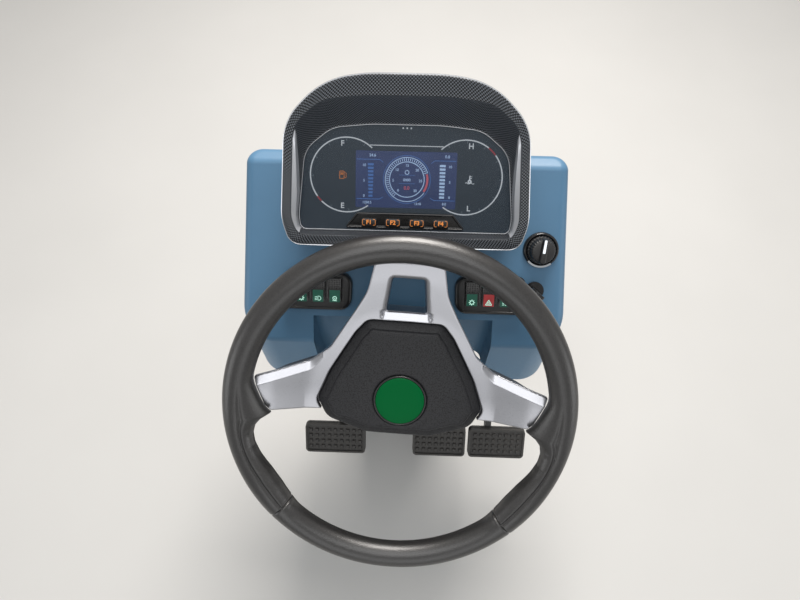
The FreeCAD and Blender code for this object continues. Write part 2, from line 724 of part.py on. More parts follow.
def light_switch_knob():
    """Round base, tapered cap and a grip across it."""
    middle = Vector(KNOB_X, KNOB_A, 0)
    shoulder = -DECK_DROP + KNOB_BASE
    top = shoulder + KNOB_CAP
    base = disc(KNOB_RING_R - 4, -DECK_DROP - KNOB_SEAT, shoulder, KNOB_X, KNOB_A)
    cap = Part.makeCone(KNOB_RING_R - 6, KNOB_RING_R - 8, KNOB_CAP, middle + Vector(0, 0, shoulder),
                        Vector(0, 0, 1))
    grip = prism(rectangle(-4, 4, -14, 14, 3), top - 1, top - 1 + KNOB_GRIP)
    grip.Placement = Placement(middle, Rotation(Vector(0, 0, 1), KNOB_GRIP_TURN))
    return on_deck(base.fuse(cap).fuse(grip))


def at_key(shape):
    """Moves a shape from the key's own frame (its axis on Z, the deck at zero) to its place."""
    placed = shape.copy()
    placed.Placement = Placement(
        Vector(KEY_SWITCH_X, KEY_SWITCH_A, -DECK_DROP), Rotation(Vector(0, 0, 1), KEY_TURN)
    ).multiply(shape.Placement)
    return on_deck(placed)


def key_switch():
    """Collar on the deck round a barrel with a slot."""
    body = disc(KEY_SWITCH_R, 0, 3).fuse(disc(KEY_BARREL_R, 0, 6))
    return at_key(body.cut(box(-4, 4, -1, 1, 2, FAR)))


def ignition_key():
    blade = box(-4, 4, -1, 1, 2, 14)
    head = prism([(-9, 14, 4), (9, 14, 4), (9, 31, 7.5), (-9, 31, 7.5)], -2.5, 2.5)
    head.Placement = Placement(Vector(), Rotation(Vector(1, 0, 0), 90))
    return at_key(blade.fuse(head))


# Steering wheel, drawn in the wheel frame

# radius from the axis and height of the front face of the spokes
DISH = [(0, -40), (62, -40), (108, -28), (150, -12), (175, -6)]
TRIM_HALF = [(150, -20, 4), (156, -12, 10), (169, 23, 3), (136, 38.5, 0), (103, 49, 12), (84, 64, 14),
             (58, 105, 60), (45, 130, 30), (38, 167, 6)]
HUB_PAD_HALF = [(39, -46, 30), (86, -31, 20), (98, -8, 12), (84, 28, 60), (56, 78, 40), (43, 94, 12)]
WINDOW_HALF = [(27.6, 102, 6), (18.6, 152, 6)]
WINDOW_WALL = 3.0
WINDOW_DEPTH = 34.0
FLARE_HALF = [(158, -64, 0), (157, -46, 14), (150, -20.5, 3), (156.6, -12, 10), (170, 23.5, 3),
              (168, 36, 6), (176, 48, 0), (184, 0, 0), (176, -66, 0)]


def dished(low_by, high_by):
    """Solid between the dish surface moved by two heights."""
    reach = RIM_R + RIM_SECTION
    upper = [(r, n + high_by) for r, n in DISH] + [(reach, DISH[-1][1] + high_by)]
    lower = [(r, n + low_by) for r, n in DISH] + [(reach, DISH[-1][1] + low_by)]
    return turned(upper + list(reversed(lower)))


def rim_segment(first, last, section, radius):
    """Piece of the rim's ring between two angles."""
    circle = Part.makeCircle(section, Vector(radius, 0, 0), Vector(0, 1, 0))
    face = Part.Face(Part.Wire(circle))
    piece = face.revolve(Vector(0, 0, 0), Vector(0, 0, 1), last - first)
    piece.Placement = Placement(Vector(), Rotation(Vector(0, 0, 1), first))
    return piece


def wheel_rim():
    """Rim with thicker grips beside the spokes and a smooth swelling at each spoke's end."""
    rim = None
    for first, last, section, radius in RIM_SEGMENTS:
        piece = rim_segment(first, last, section, radius)
        rim = piece if rim is None else rim.fuse(piece)
    for side in (-1, 1):
        swelling = prism([(x, y, r) for x, y, r in FLARE_HALF], -16, 4)
        if side < 0:
            swelling = swelling.mirror(Vector(), Vector(1, 0, 0))
        rim = rim.fuse(swelling)
    return on_wheel(rim)


def spoke_trim():
    rim = rim_segment(0, 360, RIM_SECTION + 0.3, RIM_R)
    outline = prism(mirrored(TRIM_HALF), -FAR, FAR)
    trim = outline.common(dished(-TRIM_THICK, 0))
    trim = trim.cut(prism(inset_outline(mirrored(HUB_PAD_HALF), -PAD_OUTLINE_GAP), -FAR, FAR))
    sleeve = prism(inset_outline(mirrored(WINDOW_HALF), -WINDOW_WALL), -60, -12)
    trim = trim.fuse(sleeve.common(dished(-WINDOW_DEPTH, 0)))
    trim = trim.cut(prism(mirrored(WINDOW_HALF), -FAR, FAR)).cut(rim)
    for side in (-1, 1):
        swelling = prism([(side * x, y, r) for x, y, r in FLARE_HALF][::side], -17, 5)
        trim = trim.cut(swelling)
    return on_wheel(trim.removeSplitter())


def wheel_armature():
    """Cast skeleton under the trim, with the boss that sits on the shaft."""
    rim = rim_segment(0, 360, RIM_SECTION + 0.3, RIM_R)
    outline = prism(inset_outline(mirrored(TRIM_HALF), 6), -FAR, FAR).fuse(disc(50, -FAR, FAR))
    cast = outline.common(dished(-TRIM_THICK - ARMATURE_THICK, -TRIM_THICK))
    cast = cast.cut(prism(inset_outline(mirrored(WINDOW_HALF), -WINDOW_WALL), -FAR, FAR)).cut(rim)
    for side in (-1, 1):
        cast = cast.cut(prism([(side * x, y, r) for x, y, r in FLARE_HALF][::side], -17, 5))
    boss_low = BACK_COVER_BOTTOM + 4
    cast = cast.fuse(disc(20, boss_low, DISH[0][1] - TRIM_THICK))
    return on_wheel(cast.cut(disc(SHAFT_R, -FAR, FAR)).removeSplitter())


def hub_pad():
    low = DISH[0][1] - TRIM_THICK
    ball = Part.makeSphere(HUB_PAD_CROWN_R, Vector(0, 0, HUB_PAD_TOP - HUB_PAD_CROWN_R))
    pad = prism(mirrored(HUB_PAD_HALF), low - 30, 10).common(ball)
    seat = dished(-TRIM_THICK - 60, -TRIM_THICK)
    pad = pad.cut(seat).cut(disc(EMBLEM_R + 2, HUB_PAD_TOP - 3, 10)).cut(disc(19, low - 1, low + 8))
    return on_wheel(pad)


def emblem_ring():
    low = HUB_PAD_TOP - 3
    return on_wheel(ring(EMBLEM_R + 2, EMBLEM_R, low, HUB_PAD_TOP + 0.5))


def emblem_disc():
    low = HUB_PAD_TOP - 3
    return on_wheel(disc(EMBLEM_R, low, HUB_PAD_TOP + 1))


def hub_back_cover():
    top = DISH[0][1] - TRIM_THICK - ARMATURE_THICK
    return on_wheel(turned([(BACK_COVER_R, top), (BACK_COVER_R, BACK_COVER_BOTTOM + 8),
                            (BACK_COVER_R - 8, BACK_COVER_BOTTOM), (20, BACK_COVER_BOTTOM),
                            (20, BACK_COVER_BOTTOM + 4), (BACK_COVER_R - 9, BACK_COVER_BOTTOM + 4),
                            (BACK_COVER_R - 4, BACK_COVER_BOTTOM + 9), (BACK_COVER_R - 4, top)]))


def steering_shaft():
    top = DISH[0][1] - TRIM_THICK
    foot = BRACKET_TOP - BRACKET_THICK - SHAFT_IN_VALVE
    return on_deck(disc(SHAFT_R, foot, top))


def shaft_nut():
    top = DISH[0][1] - TRIM_THICK
    turns = [math.radians(60 * i) for i in range(7)]
    flats = Part.makePolygon([Vector(NUT_R * math.cos(t), NUT_R * math.sin(t), top) for t in turns])
    return on_deck(Part.Face(flats).extrude(Vector(0, 0, NUT_HEIGHT)))


# Pedals

PAD_TURN = Rotation(Vector(1, 0, 0), 90 - PAD_LEAN)


def at_pad(shape, middle_x):
    """Moves a shape from the pad's own frame (x, up the pad, out of its face)."""
    placed = shape.copy()
    placed.Placement = Placement(Vector(middle_x, PAD_MID_Y, PAD_MID_Z), PAD_TURN).multiply(shape.Placement)
    return placed


def bent_bar(path, width, radius):
    """Outline of a bar of even width along a path of (y, z) points, its bends rounded."""
    one_side, other_side = [], []
    last = len(path) - 1
    for i, (y, z) in enumerate(path):
        before = Vector(y - path[i - 1][0], z - path[i - 1][1], 0) if i else None
        after = Vector(path[i + 1][0] - y, path[i + 1][1] - z, 0) if i < last else None
        before = (before or after).normalize()
        after = (after or before).normalize()
        square = (Vector(-before.y, before.x, 0) + Vector(-after.y, after.x, 0)).normalize()
        reach = width / 2 / square.dot(Vector(-before.y, before.x, 0))
        bend = radius if 0 < i < last else 0
        one_side.append((y + square.x * reach, z + square.y * reach, bend))
        other_side.append((y - square.x * reach, z - square.y * reach, bend))
    return one_side + other_side[::-1]


def pedal_arm(left, right, arm_x, boss_left, boss_right):
    """Boss, bent arm and pad plate in one forging."""
    half_width, half_height = (right - left) / 2, PAD_HEIGHT / 2
    boss = Part.makeCylinder(PIVOT_R + BOSS_WALL, boss_right - boss_left,
                             Vector(boss_left, PIVOT_Y, PIVOT_Z), Vector(1, 0, 0))
    back = PAD_TURN.multVec(Vector(0, 0, -PAD_RUBBER - PAD_PLATE / 2))
    path = [(PIVOT_Y, PIVOT_Z), (PAD_MID_Y + ELBOW_FORWARD, PAD_MID_Z + ELBOW_UP),
            (PAD_MID_Y + back.y, PAD_MID_Z + back.z)]
    blade = side_prism(bent_bar(path, ARM_WIDTH, ELBOW_RADIUS), arm_x - ARM_THICK / 2, arm_x + ARM_THICK / 2)
    face_side = at_pad(box(-FAR, FAR, -FAR, FAR, -PAD_RUBBER, 60), arm_x)
    blade = blade.cut(face_side.common(box(-FAR, FAR, -FAR, FAR, 0, PAD_MID_Z + PAD_HEIGHT)))
    middle = (left + right) / 2
    plate = prism(rectangle(-half_width, half_width, -half_height, half_height, 8),
                  -PAD_RUBBER - PAD_PLATE, -PAD_RUBBER)
    arm = boss.fuse(blade).fuse(at_pad(plate, middle))
    bore = Part.makeCylinder(PIVOT_R + RUNNING_CLEARANCE, 2 * FAR,
                             Vector(-FAR, PIVOT_Y, PIVOT_Z), Vector(1, 0, 0))
    return arm.cut(bore).removeSplitter()


def square_wire(x, y, half):
    return rounded_wire(rectangle(x - half, x + half, y - half, y + half, 0))


def pedal_pad(left, right):
    """Rubber cover with a raised border and rows of studs."""
    half_width, half_height = (right - left) / 2 - 0.5, PAD_HEIGHT / 2 - 0.5
    outline = rectangle(-half_width, half_width, -half_height, half_height, 7)
    pad = prism(outline, -PAD_RUBBER, STUD_HEIGHT)
    pad = pad.cut(prism(inset_outline(outline, PAD_BORDER), 0, STUD_HEIGHT + 1))
    columns = int((2 * half_width - 2 * PAD_BORDER - STUD_FOOT) // STUD_PITCH) + 1
    rows = int((2 * half_height - 2 * PAD_BORDER - STUD_FOOT) // STUD_PITCH) + 1
    studs = []
    for i in range(columns):
        for j in range(rows):
            x = (i - (columns - 1) / 2) * STUD_PITCH
            y = (j - (rows - 1) / 2) * STUD_PITCH
            foot = square_wire(x, y, STUD_FOOT / 2)
            top = square_wire(x, y, STUD_TOP / 2)
            studs.append(Part.makeLoft([foot, at_level(top, STUD_HEIGHT)], True, True))
    return at_pad(pad.fuse(studs), (left + right) / 2)


def steering_hoses():
    """Hoses from the valve's end down through the floor."""
    hoses = None
    valve = steering_valve()
    valve_end = deck_point(0, BRACKET_TOP - BRACKET_THICK - VALVE_LENGTH)[1]
    for x in HOSE_X:
        hose = disc(HOSE_R, 2, valve_end + VALVE_HALF, x, HOSE_Y).cut(valve)
        hose = min(hose.Solids, key=lambda solid: solid.CenterOfMass.z)
        hoses = hose if hoses is None else hoses.fuse(hose)
    return hoses


def build():
    nodes = {
        "floor_flange": base_flange(),
        "frame_posts": frame_post(-1).fuse(frame_post(1)),
        "frame_cross_beam": frame_cross_beam(),
        "pedal_shaft": pedal_shaft(),
        "column_bracket": column_bracket(),
        "column_jacket": column_jacket(),
        "column_bush": column_bush(),
        "steering_valve": steering_valve(),
        "steering_hoses": steering_hoses(),
        "column_shroud": column_shroud(),
        "column_boot": column_boot(),
        "lower_shroud": lower_shroud(),
        "service_panel": service_panel(),
        "head_shell": head_shell(),
        "binnacle_hood": binnacle_hood(),
        "cluster_housing": cluster_housing(),
        "cluster_face": cluster_face(),
        "lcd_screen": lcd_screen(),
        "gauge_rings": gauge_rings(),
        "function_key_bar": function_key_bar(),
        "function_keys": function_keys(),
        "cluster_lens": cluster_lens(),
        "light_switch_ring": light_switch_ring(),
        "light_switch_knob": light_switch_knob(),
        "key_switch": key_switch(),
        "ignition_key": ignition_key(),
        "wheel_rim": wheel_rim(),
        "spoke_trim": spoke_trim(),
        "wheel_armature": wheel_armature(),
        "hub_pad": hub_pad(),
        "emblem_ring": emblem_ring(),
        "emblem_disc": emblem_disc(),
        "hub_back_cover": hub_back_cover(),
        "steering_shaft": steering_shaft(),
        "shaft_nut": shaft_nut(),
    }
    for side, word in ((-1, "left"), (1, "right")):
        nodes["switch_bezel_" + word] = switch_bezel(side)
        nodes["rockers_" + word] = rockers(side)
    for name, left, right, arm_x, boss_left, boss_right in PEDALS:
        nodes[name + "_arm"] = pedal_arm(left, right, arm_x, boss_left, boss_right)
        nodes[name + "_pad"] = pedal_pad(left, right)
    return nodes


def export(nodes):
    os.makedirs("parts", exist_ok=True)
    for name, shape in nodes.items():
        shape.exportStep("parts/%s.step" % name)
        print("%-20s %8.1f cm3, valid %s" % (name, shape.Volume / 1000, shape.isValid()))


export(build())
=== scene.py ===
# %% [markdown]
# # Dressing the steering console of a farm tractor
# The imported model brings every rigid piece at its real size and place. This lesson gives each piece
# the finish of the real one, and rebuilds the moulded skins, dials and switches as smooth surfaces.
# Each surface is a formula over a grid of numpy arrays, so its shape can be read and changed.

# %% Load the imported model
import bpy
import json
import math
import numpy as np
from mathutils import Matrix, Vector


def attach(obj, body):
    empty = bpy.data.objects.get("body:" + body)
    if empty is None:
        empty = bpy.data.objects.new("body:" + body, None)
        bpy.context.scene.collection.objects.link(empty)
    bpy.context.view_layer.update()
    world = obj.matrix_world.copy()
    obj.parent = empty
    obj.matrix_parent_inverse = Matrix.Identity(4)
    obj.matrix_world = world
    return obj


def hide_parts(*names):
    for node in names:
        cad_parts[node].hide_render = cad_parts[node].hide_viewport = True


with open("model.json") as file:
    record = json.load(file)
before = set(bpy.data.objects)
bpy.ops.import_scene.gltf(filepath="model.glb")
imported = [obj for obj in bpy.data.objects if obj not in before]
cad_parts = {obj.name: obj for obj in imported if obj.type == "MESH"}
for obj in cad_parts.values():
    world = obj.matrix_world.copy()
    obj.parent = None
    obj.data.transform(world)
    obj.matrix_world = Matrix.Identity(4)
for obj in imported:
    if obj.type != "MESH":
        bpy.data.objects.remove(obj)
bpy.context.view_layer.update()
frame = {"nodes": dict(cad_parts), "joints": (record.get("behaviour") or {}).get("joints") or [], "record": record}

# %% [markdown]
# The console is drawn in three frames. The row frame is the tractor's own: Z up, Y to the front. The
# deck frame lies on the sloping deck: x across, a up the slope, n out of it, from the wheel's centre.
# The wheel frame is the deck frame, turned with the wheel. The steering joint gives centre and slope,
# so nothing has to be fitted. Drawings are in millimetres and become metres in one place.

# %% Deck frame and wheel frame
MM = 0.001
joint_of = {joint["name"]: joint for joint in frame["joints"]}
HUB = np.array(joint_of["steering_turn"]["pos_m"])
UP_COLUMN = np.array(joint_of["steering_turn"]["axis"])
ACROSS = np.array([1.0, 0.0, 0.0])
UP_DECK = np.cross(UP_COLUMN, ACROSS)
WHEEL_TURN = math.radians(-2.7)


def on_deck(x, a, n):
    """Hub's centre, plus x across, plus a up the slope, plus n out of it; metres from millimetres."""
    x, a, n = (np.asarray(v, float)[..., None] for v in np.broadcast_arrays(x, a, n))
    return HUB + MM * (x * ACROSS + a * UP_DECK + n * UP_COLUMN)


def on_wheel(x, y, n):
    """The deck frame's point, after x and y are turned by the angle at which the wheel stands."""
    c, s = math.cos(WHEEL_TURN), math.sin(WHEEL_TURN)
    return on_deck(c * x - s * y, s * x + c * y, n)


print("deck slope:", round(math.degrees(math.asin(UP_DECK[2])), 1), "degrees")

# %% [markdown]
# Most surfaces here are grids: rows and columns of points, joined by four-cornered faces. A grid may
# close on itself, as a rim does both ways. These few helpers number the faces, join shapes, and close
# a sheet into a solid by adding its underside and a wall along its free edges.

# %% Grids, sheets and solids


def quads(rows, columns, round_rows=False, round_columns=False):
    """Corner numbers of every cell of a grid, whose last row or column may join the first."""
    index = np.arange(rows * columns).reshape(rows, columns)
    if round_rows:
        index = np.vstack([index, index[:1]])
    if round_columns:
        index = np.hstack([index, index[:, :1]])
    cells = [index[:-1, :-1], index[:-1, 1:], index[1:, 1:], index[1:, :-1]]
    return np.stack(cells, -1).reshape(-1, 4)


def grid(points, round_rows=False, round_columns=False, low_cap=False, high_cap=False):
    """Points in rows and columns as a shape; a cap is one face over the first or last row."""
    rows, columns = points.shape[:2]
    faces = quads(rows, columns, round_rows, round_columns).tolist()
    if low_cap:
        faces.append(list(range(columns))[::-1])
    if high_cap:
        faces.append(list(range((rows - 1) * columns, rows * columns)))
    return points.reshape(-1, 3), faces


def outward(shape):
    """The shape, with its faces turned over if the volume that they enclose comes out negative."""
    points, faces = shape
    faces = faces if isinstance(faces, list) else faces.tolist()
    volume = 0.0
    for size in set(map(len, faces)):
        corner = (points - points.mean(0))[np.array([face for face in faces if len(face) == size])]
        volume += (corner[:, :1] * np.cross(corner[:, 1:-1], corner[:, 2:])).sum()
    return points, (faces if volume > 0 else [face[::-1] for face in faces])


def together(shapes):
    """Several shapes as one: the corner numbers of each are moved on by the points before it."""
    points, faces, count = [], [], 0
    for shape_points, shape_faces in map(outward, shapes):
        points.append(shape_points)
        faces += [[corner + count for corner in face] for face in shape_faces]
        count += len(shape_points)
    return np.vstack(points), faces


def merged(points, faces):
    """Points closer than a micrometre become one, and faces that lose a corner by it go."""
    _, first, number = np.unique(np.round(points, 6), axis=0, return_index=True, return_inverse=True)
    number = number.reshape(-1)
    whole = []
    for size in sorted(set(map(len, faces))):
        some = number[np.array([face for face in faces if len(face) == size])]
        ordered = np.sort(some, 1)
        whole += some[(ordered[:, 1:] != ordered[:, :-1]).all(1)].tolist()
    return points[first], whole


def thickened(top, under, faces):
    """A sheet, its underside, and a wall along every edge that only one face has."""
    faces = np.asarray(faces)
    edges = np.stack([faces, np.roll(faces, -1, 1)], -1).reshape(-1, 2)
    _, kind, times = np.unique(np.sort(edges, 1), axis=0, return_inverse=True, return_counts=True)
    free = edges[times[kind.reshape(-1)] == 1]
    count = len(top)
    walls = np.stack([free[:, 1], free[:, 0], free[:, 0] + count, free[:, 1] + count], 1)
    return np.vstack([top, under]), faces.tolist() + (faces[:, ::-1] + count).tolist() + walls.tolist()


print("helpers ready")

# %% [markdown]
# Outlines are drawn as a designer draws them: corners, each with a radius. They are turned into even
# points, moved inwards by a distance, cut into runs, or lifted into a solid along an edge profile.

# %% Outlines


def unit(vectors):
    """Every vector at a length of one; a vector of no length stays."""
    return vectors / np.maximum(np.linalg.norm(vectors, axis=-1, keepdims=True), 1e-12)


def mirrored(half):
    """Corners of the right half, from bottom to top, and their mirror images back down."""
    return half + [(-x, y, r) for x, y, r in half[::-1] if x > 0]


def rounded(corners, step=1.0):
    """Closed outline through (x, y, radius) corners: straight runs and tangent arcs, cut every step.
    An arc's centre lies on the corner's bisector, at its radius over the sine of half the corner."""
    corners = np.array(corners, float)
    here, radius = corners[:, :2], corners[:, 2]
    back, ahead = unit(np.roll(here, 1, 0) - here), unit(np.roll(here, -1, 0) - here)
    half = np.arccos(np.clip((back * ahead).sum(1), -1, 1)) / 2
    centre = here + unit(back + ahead) * (radius / np.sin(half))[:, None]
    start = here + back * (radius / np.tan(half))[:, None]
    turn = -np.sign(back[:, 0] * ahead[:, 1] - back[:, 1] * ahead[:, 0]) * (np.pi - 2 * half)
    points = []
    for i in range(len(corners)):
        count = max(int(abs(turn[i]) * radius[i] / step), 3) if radius[i] > 0 else 0
        angle = turn[i] * np.linspace(0, 1, count + 1)
        arm = start[i] - centre[i] if radius[i] > 0 else np.zeros(2)
        swing = np.stack([arm[0] * np.cos(angle) - arm[1] * np.sin(angle),
                          arm[0] * np.sin(angle) + arm[1] * np.cos(angle)], 1)
        points.append(centre[i] + swing)
    rough = np.vstack(points)
    gap = np.linalg.norm(np.roll(rough, -1, 0) - rough, axis=1)
    parts = [a + (b - a) * np.linspace(0, 1, max(int(g / step), 1), endpoint=False)[:, None]
             for a, b, g in zip(rough, np.roll(rough, -1, 0), gap)]
    return np.vstack(parts)


def rectangle(low, high, radius, step):
    """Outline of a rectangle between two opposite corners, with round corners."""
    (x0, y0), (x1, y1) = low, high
    return rounded([(x0, y0, radius), (x1, y0, radius), (x1, y1, radius), (x0, y1, radius)], step)


def spaced(path, count, closed=False):
    """The path again, with a number of points that are evenly far apart."""
    if closed:
        path = np.vstack([path, path[:1]])
    length = np.concatenate([[0], np.cumsum(np.linalg.norm(np.diff(path, axis=0), axis=1))])
    at = np.linspace(0, length[-1], count, endpoint=not closed)
    return np.stack([np.interp(at, length, path[:, k]) for k in range(path.shape[1])], 1)


def run(loop, start, end, count):
    """The loop's stretch from the point nearest start, forwards, to the one nearest end."""
    first = np.argmin(((loop - start) ** 2).sum(1))
    last = np.argmin(((loop - end) ** 2).sum(1))
    stretch = np.roll(loop, -first, 0)[: (last - first) % len(loop) + 1]
    return spaced(stretch, count)


def inset(loop, distance):
    """Every point moved to the left of its direction of travel, so inwards on a loop that runs left."""
    along = unit(np.roll(loop, -1, 0) - np.roll(loop, 1, 0))
    return loop + distance * np.stack([-along[:, 1], along[:, 0]], 1)


def away_from(points, loop):
    """Distance from each point to the nearest place on the loop's segments."""
    start, span = loop, np.roll(loop, -1, 0) - loop
    square = np.maximum((span ** 2).sum(1), 1e-12)
    nearest = []
    for some in np.array_split(points, max(len(points) // 1500, 1)):
        apart = some[:, None] - start
        share = np.clip((apart * span).sum(-1) / square, 0, 1)
        nearest.append(np.linalg.norm(apart - share[..., None] * span, axis=-1).min(1))
    return np.concatenate(nearest)


def lifted(loop, profile, place):
    """A solid with the loop as its outline: each (inset, height) of the profile makes one ring."""
    rings = [place(*inset(loop, by).T, np.full(len(loop), height)) for by, height in profile]
    return grid(np.stack(rings), round_columns=True, low_cap=True, high_cap=True)


def revolved(profile, place, centre=(0, 0), steps=96, hollow=False, flutes=0, flute_depth=0.0):
    """Turns (radius, height) points about the centre: x = radius times cosine, y = radius times sine.
    Flutes take a cosine wave off the radius. A hollow profile is a closed loop, with no caps."""
    profile = np.array(profile, float)
    angle = np.linspace(0, 2 * np.pi, steps, endpoint=False)
    radius = profile[:, :1] - flute_depth * (1 - np.cos(flutes * angle)) / 2 * (profile[:, :1] > 1)
    height = profile[:, 1:] * np.ones(steps)
    points = place(centre[0] + radius * np.cos(angle), centre[1] + radius * np.sin(angle), height)
    return grid(points, round_rows=hollow, round_columns=True, low_cap=not hollow, high_cap=not hollow)


def over(level, profile):
    """A profile whose heights are counted from a level."""
    return [(by, level + height) for by, height in profile]


print("outline helpers ready")

# %% [markdown]
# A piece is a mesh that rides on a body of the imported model. Where it stands for a CAD node, the node
# hides and goes on colliding. Rigid metalwork keeps its CAD form: a copy has its loose triangles
# merged, so that light runs smoothly over round faces while flat faces stay flat.

# %% Pieces and skins
record = frame["record"]
body_of = {node: body for body, nodes in record["behaviour"]["bodies"].items() for node in nodes}


def piece(name, shape, material, like, replaces=False, smooth=35, uv=None):
    """Makes an object of a shape, which rides with the CAD node it is like, and may stand for it."""
    points, faces = outward(shape)
    mesh = bpy.data.meshes.new(name)
    mesh.from_pydata(points, [], faces)
    mesh.materials.append(material)
    mesh.polygons.foreach_set("use_smooth", np.ones(len(mesh.polygons), bool))
    mesh.set_sharp_from_angle(angle=math.radians(smooth))
    if uv is not None:
        mesh.attributes.new("cloth", "FLOAT2", "POINT").data.foreach_set("vector", uv.ravel())
    obj = bpy.data.objects.new(name, mesh)
    bpy.context.scene.collection.objects.link(obj)
    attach(obj, body_of[like])
    if replaces:
        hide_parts(like)
    print("made", name, len(mesh.polygons), "faces")
    return obj


def skin(node, material, smooth=30):
    """The CAD node again, its triangles joined at their corners and shaded smooth below an angle."""
    mesh = frame["nodes"][node].data
    points = np.empty(len(mesh.vertices) * 3)
    mesh.vertices.foreach_get("co", points)
    corners = np.empty(len(mesh.loops), int)
    mesh.loops.foreach_get("vertex_index", corners)
    obj = piece(node + "_skin", merged(points.reshape(-1, 3), corners.reshape(-1, 3)), material, node,
                replaces=True, smooth=smooth)
    weighted = obj.modifiers.new("flat faces stay flat", "WEIGHTED_NORMAL")
    weighted.keep_sharp = True
    return obj


# %% [markdown]
# Materials are node networks. Four effects are used by several materials, so each is a node group
# with named inputs: pebble grain, the fine texture of a spark-eroded mould, a plain weave, and the
# uneven colour and gloss that handling and dust leave. The shader itself stays in each material.

# %% Node helpers


def feed(tree, socket, value):
    """Gives an input its value: another node's output is linked, anything else is set."""
    if isinstance(value, bpy.types.NodeSocket):
        tree.links.new(value, socket)
    else:
        socket.default_value = value


def add(tree, kind, settings=None, **inputs):
    """A node with its settings and inputs. An input goes by its name, or by i and its number."""
    node = tree.nodes.new(kind)
    for key, value in (settings or {}).items():
        setattr(node, key, value)
    for key, value in inputs.items():
        numbered = key[0] == "i" and key[1:].isdigit()
        feed(tree, node.inputs[int(key[1:]) if numbered else key.replace("_", " ")], value)
    return node


def maths(tree, operation, first, second=0.0):
    """The result of one operation on one or two values."""
    return add(tree, "ShaderNodeMath", {"operation": operation}, i0=first, i1=second).outputs[0]


def rising(tree, low, span, share):
    """A value that starts at low and rises by a share of the span."""
    return maths(tree, "ADD", low, maths(tree, "MULTIPLY", share, span))


def swaying(tree, value, spread, noise):
    """A value that a noise from 0 to 1 moves up and down, over a spread in all."""
    return rising(tree, value, spread, maths(tree, "SUBTRACT", noise, 0.5))


def blend(tree, share, first, second):
    """A colour between two, at the share of the second."""
    return add(tree, "ShaderNodeMix", {"data_type": "RGBA"}, i0=share, i6=first, i7=second).outputs[2]


def group(name, inputs, outputs):
    """An empty node group with its sockets, and its input and output nodes."""
    tree = bpy.data.node_groups.new(name, "ShaderNodeTree")
    kinds = {"value": "NodeSocketFloat", "colour": "NodeSocketColor", "vector": "NodeSocketVector"}
    for label, kind in inputs:
        tree.interface.new_socket(name=label, in_out="INPUT", socket_type=kinds[kind])
    for label, kind in outputs:
        tree.interface.new_socket(name=label, in_out="OUTPUT", socket_type=kinds[kind])
    return tree, tree.nodes.new("NodeGroupInput"), tree.nodes.new("NodeGroupOutput")


def srgb(red, green, blue):
    """A colour as a screen shows it, from 0 to 255, turned into light."""
    screen = np.array([red, green, blue]) / 255
    light = np.where(screen > 0.04045, ((screen + 0.055) / 1.055) ** 2.4, screen / 12.92)
    return (*light.tolist(), 1.0)


print("grey 128 is light", round(srgb(128, 128, 128)[0], 3))

# %% [markdown]
# Each effect is worked out from the piece's own coordinates, so a grain has the same size everywhere.
# Heights run from 0 to 1, and the material says how deep that is.

# %% Shared effects


def pebble_group():
    """Rounded pebbles of one size: high in the middle of each cell, low where cells meet. The second output marks
    the low places, where the materials lay painted shade.
    """
    tree, given, wanted = group("Pebble grain", [("Vector", "vector"), ("Size", "value")],
                                [("Height", "value"), ("Valley shade", "value")])
    scale = maths(tree, "DIVIDE", 1.0, given.outputs["Size"])
    cells = add(tree, "ShaderNodeTexVoronoi", {"feature": "SMOOTH_F1"}, Vector=given.outputs["Vector"],
                Scale=scale, Smoothness=0.35, Randomness=0.9)
    high = maths(tree, "SUBTRACT", 1.0, maths(tree, "POWER", cells.outputs["Distance"], 1.6))
    tree.links.new(high, wanted.inputs["Height"])
    # The low places between pebbles, from 0 to 1: a mask for painted shade.
    low = add(tree, "ShaderNodeMapRange", {"interpolation_type": "SMOOTHSTEP"},
              Value=cells.outputs["Distance"], From_Min=0.35, From_Max=0.8)
    tree.links.new(low.outputs[0], wanted.inputs["Valley shade"])
    return tree


def spark_group():
    """Two octaves of fine noise, as a spark-eroded mould leaves on plastic."""
    tree, given, wanted = group("Spark grain", [("Vector", "vector"), ("Size", "value")],
                                [("Height", "value"), ("Speckle", "value")])
    scale = maths(tree, "DIVIDE", 1.0, given.outputs["Size"])
    noise = add(tree, "ShaderNodeTexNoise", Vector=given.outputs["Vector"], Scale=scale, Detail=3.0,
                Roughness=0.6)
    tree.links.new(noise.outputs["Fac"], wanted.inputs["Height"])
    coarse = add(tree, "ShaderNodeTexNoise", Vector=given.outputs["Vector"],
                 Scale=maths(tree, "MULTIPLY", scale, 0.2), Detail=2.0)
    tree.links.new(coarse.outputs["Fac"], wanted.inputs["Speckle"])
    return tree


def weave_group():
    """Plain weave: strands go over and under by turns, like a chequerboard; each strand is round. The painted
    sheen falls from the middle of each strand to where it dips.
    """
    tree, given, wanted = group("Plain weave", [("Cloth", "vector")],
                                [("Height", "value"), ("Warp", "value"), ("Painted sheen", "value")])
    cloth = add(tree, "ShaderNodeSeparateXYZ", Vector=given.outputs["Cloth"])
    u, v = cloth.outputs[0], cloth.outputs[1]
    step = maths(tree, "ADD", maths(tree, "FLOOR", u), maths(tree, "FLOOR", v))
    warp = maths(tree, "LESS_THAN", maths(tree, "FLOORED_MODULO", step, 2.0), 0.5)
    round_u = maths(tree, "SINE", maths(tree, "MULTIPLY", maths(tree, "FRACT", u), math.pi))
    round_v = maths(tree, "SINE", maths(tree, "MULTIPLY", maths(tree, "FRACT", v), math.pi))
    height = add(tree, "ShaderNodeMix", i0=warp, i2=round_v, i3=round_u)
    tree.links.new(height.outputs[0], wanted.inputs["Height"])
    tree.links.new(warp, wanted.inputs["Warp"])
    # Painted sheen: bright in the middle of each strand, dark where it dips under the next.
    along = add(tree, "ShaderNodeMix", i0=warp, i2=round_u, i3=round_v)
    tree.links.new(along.outputs[0], wanted.inputs["Painted sheen"])
    return tree


DUST_COLOUR = srgb(168, 160, 148)


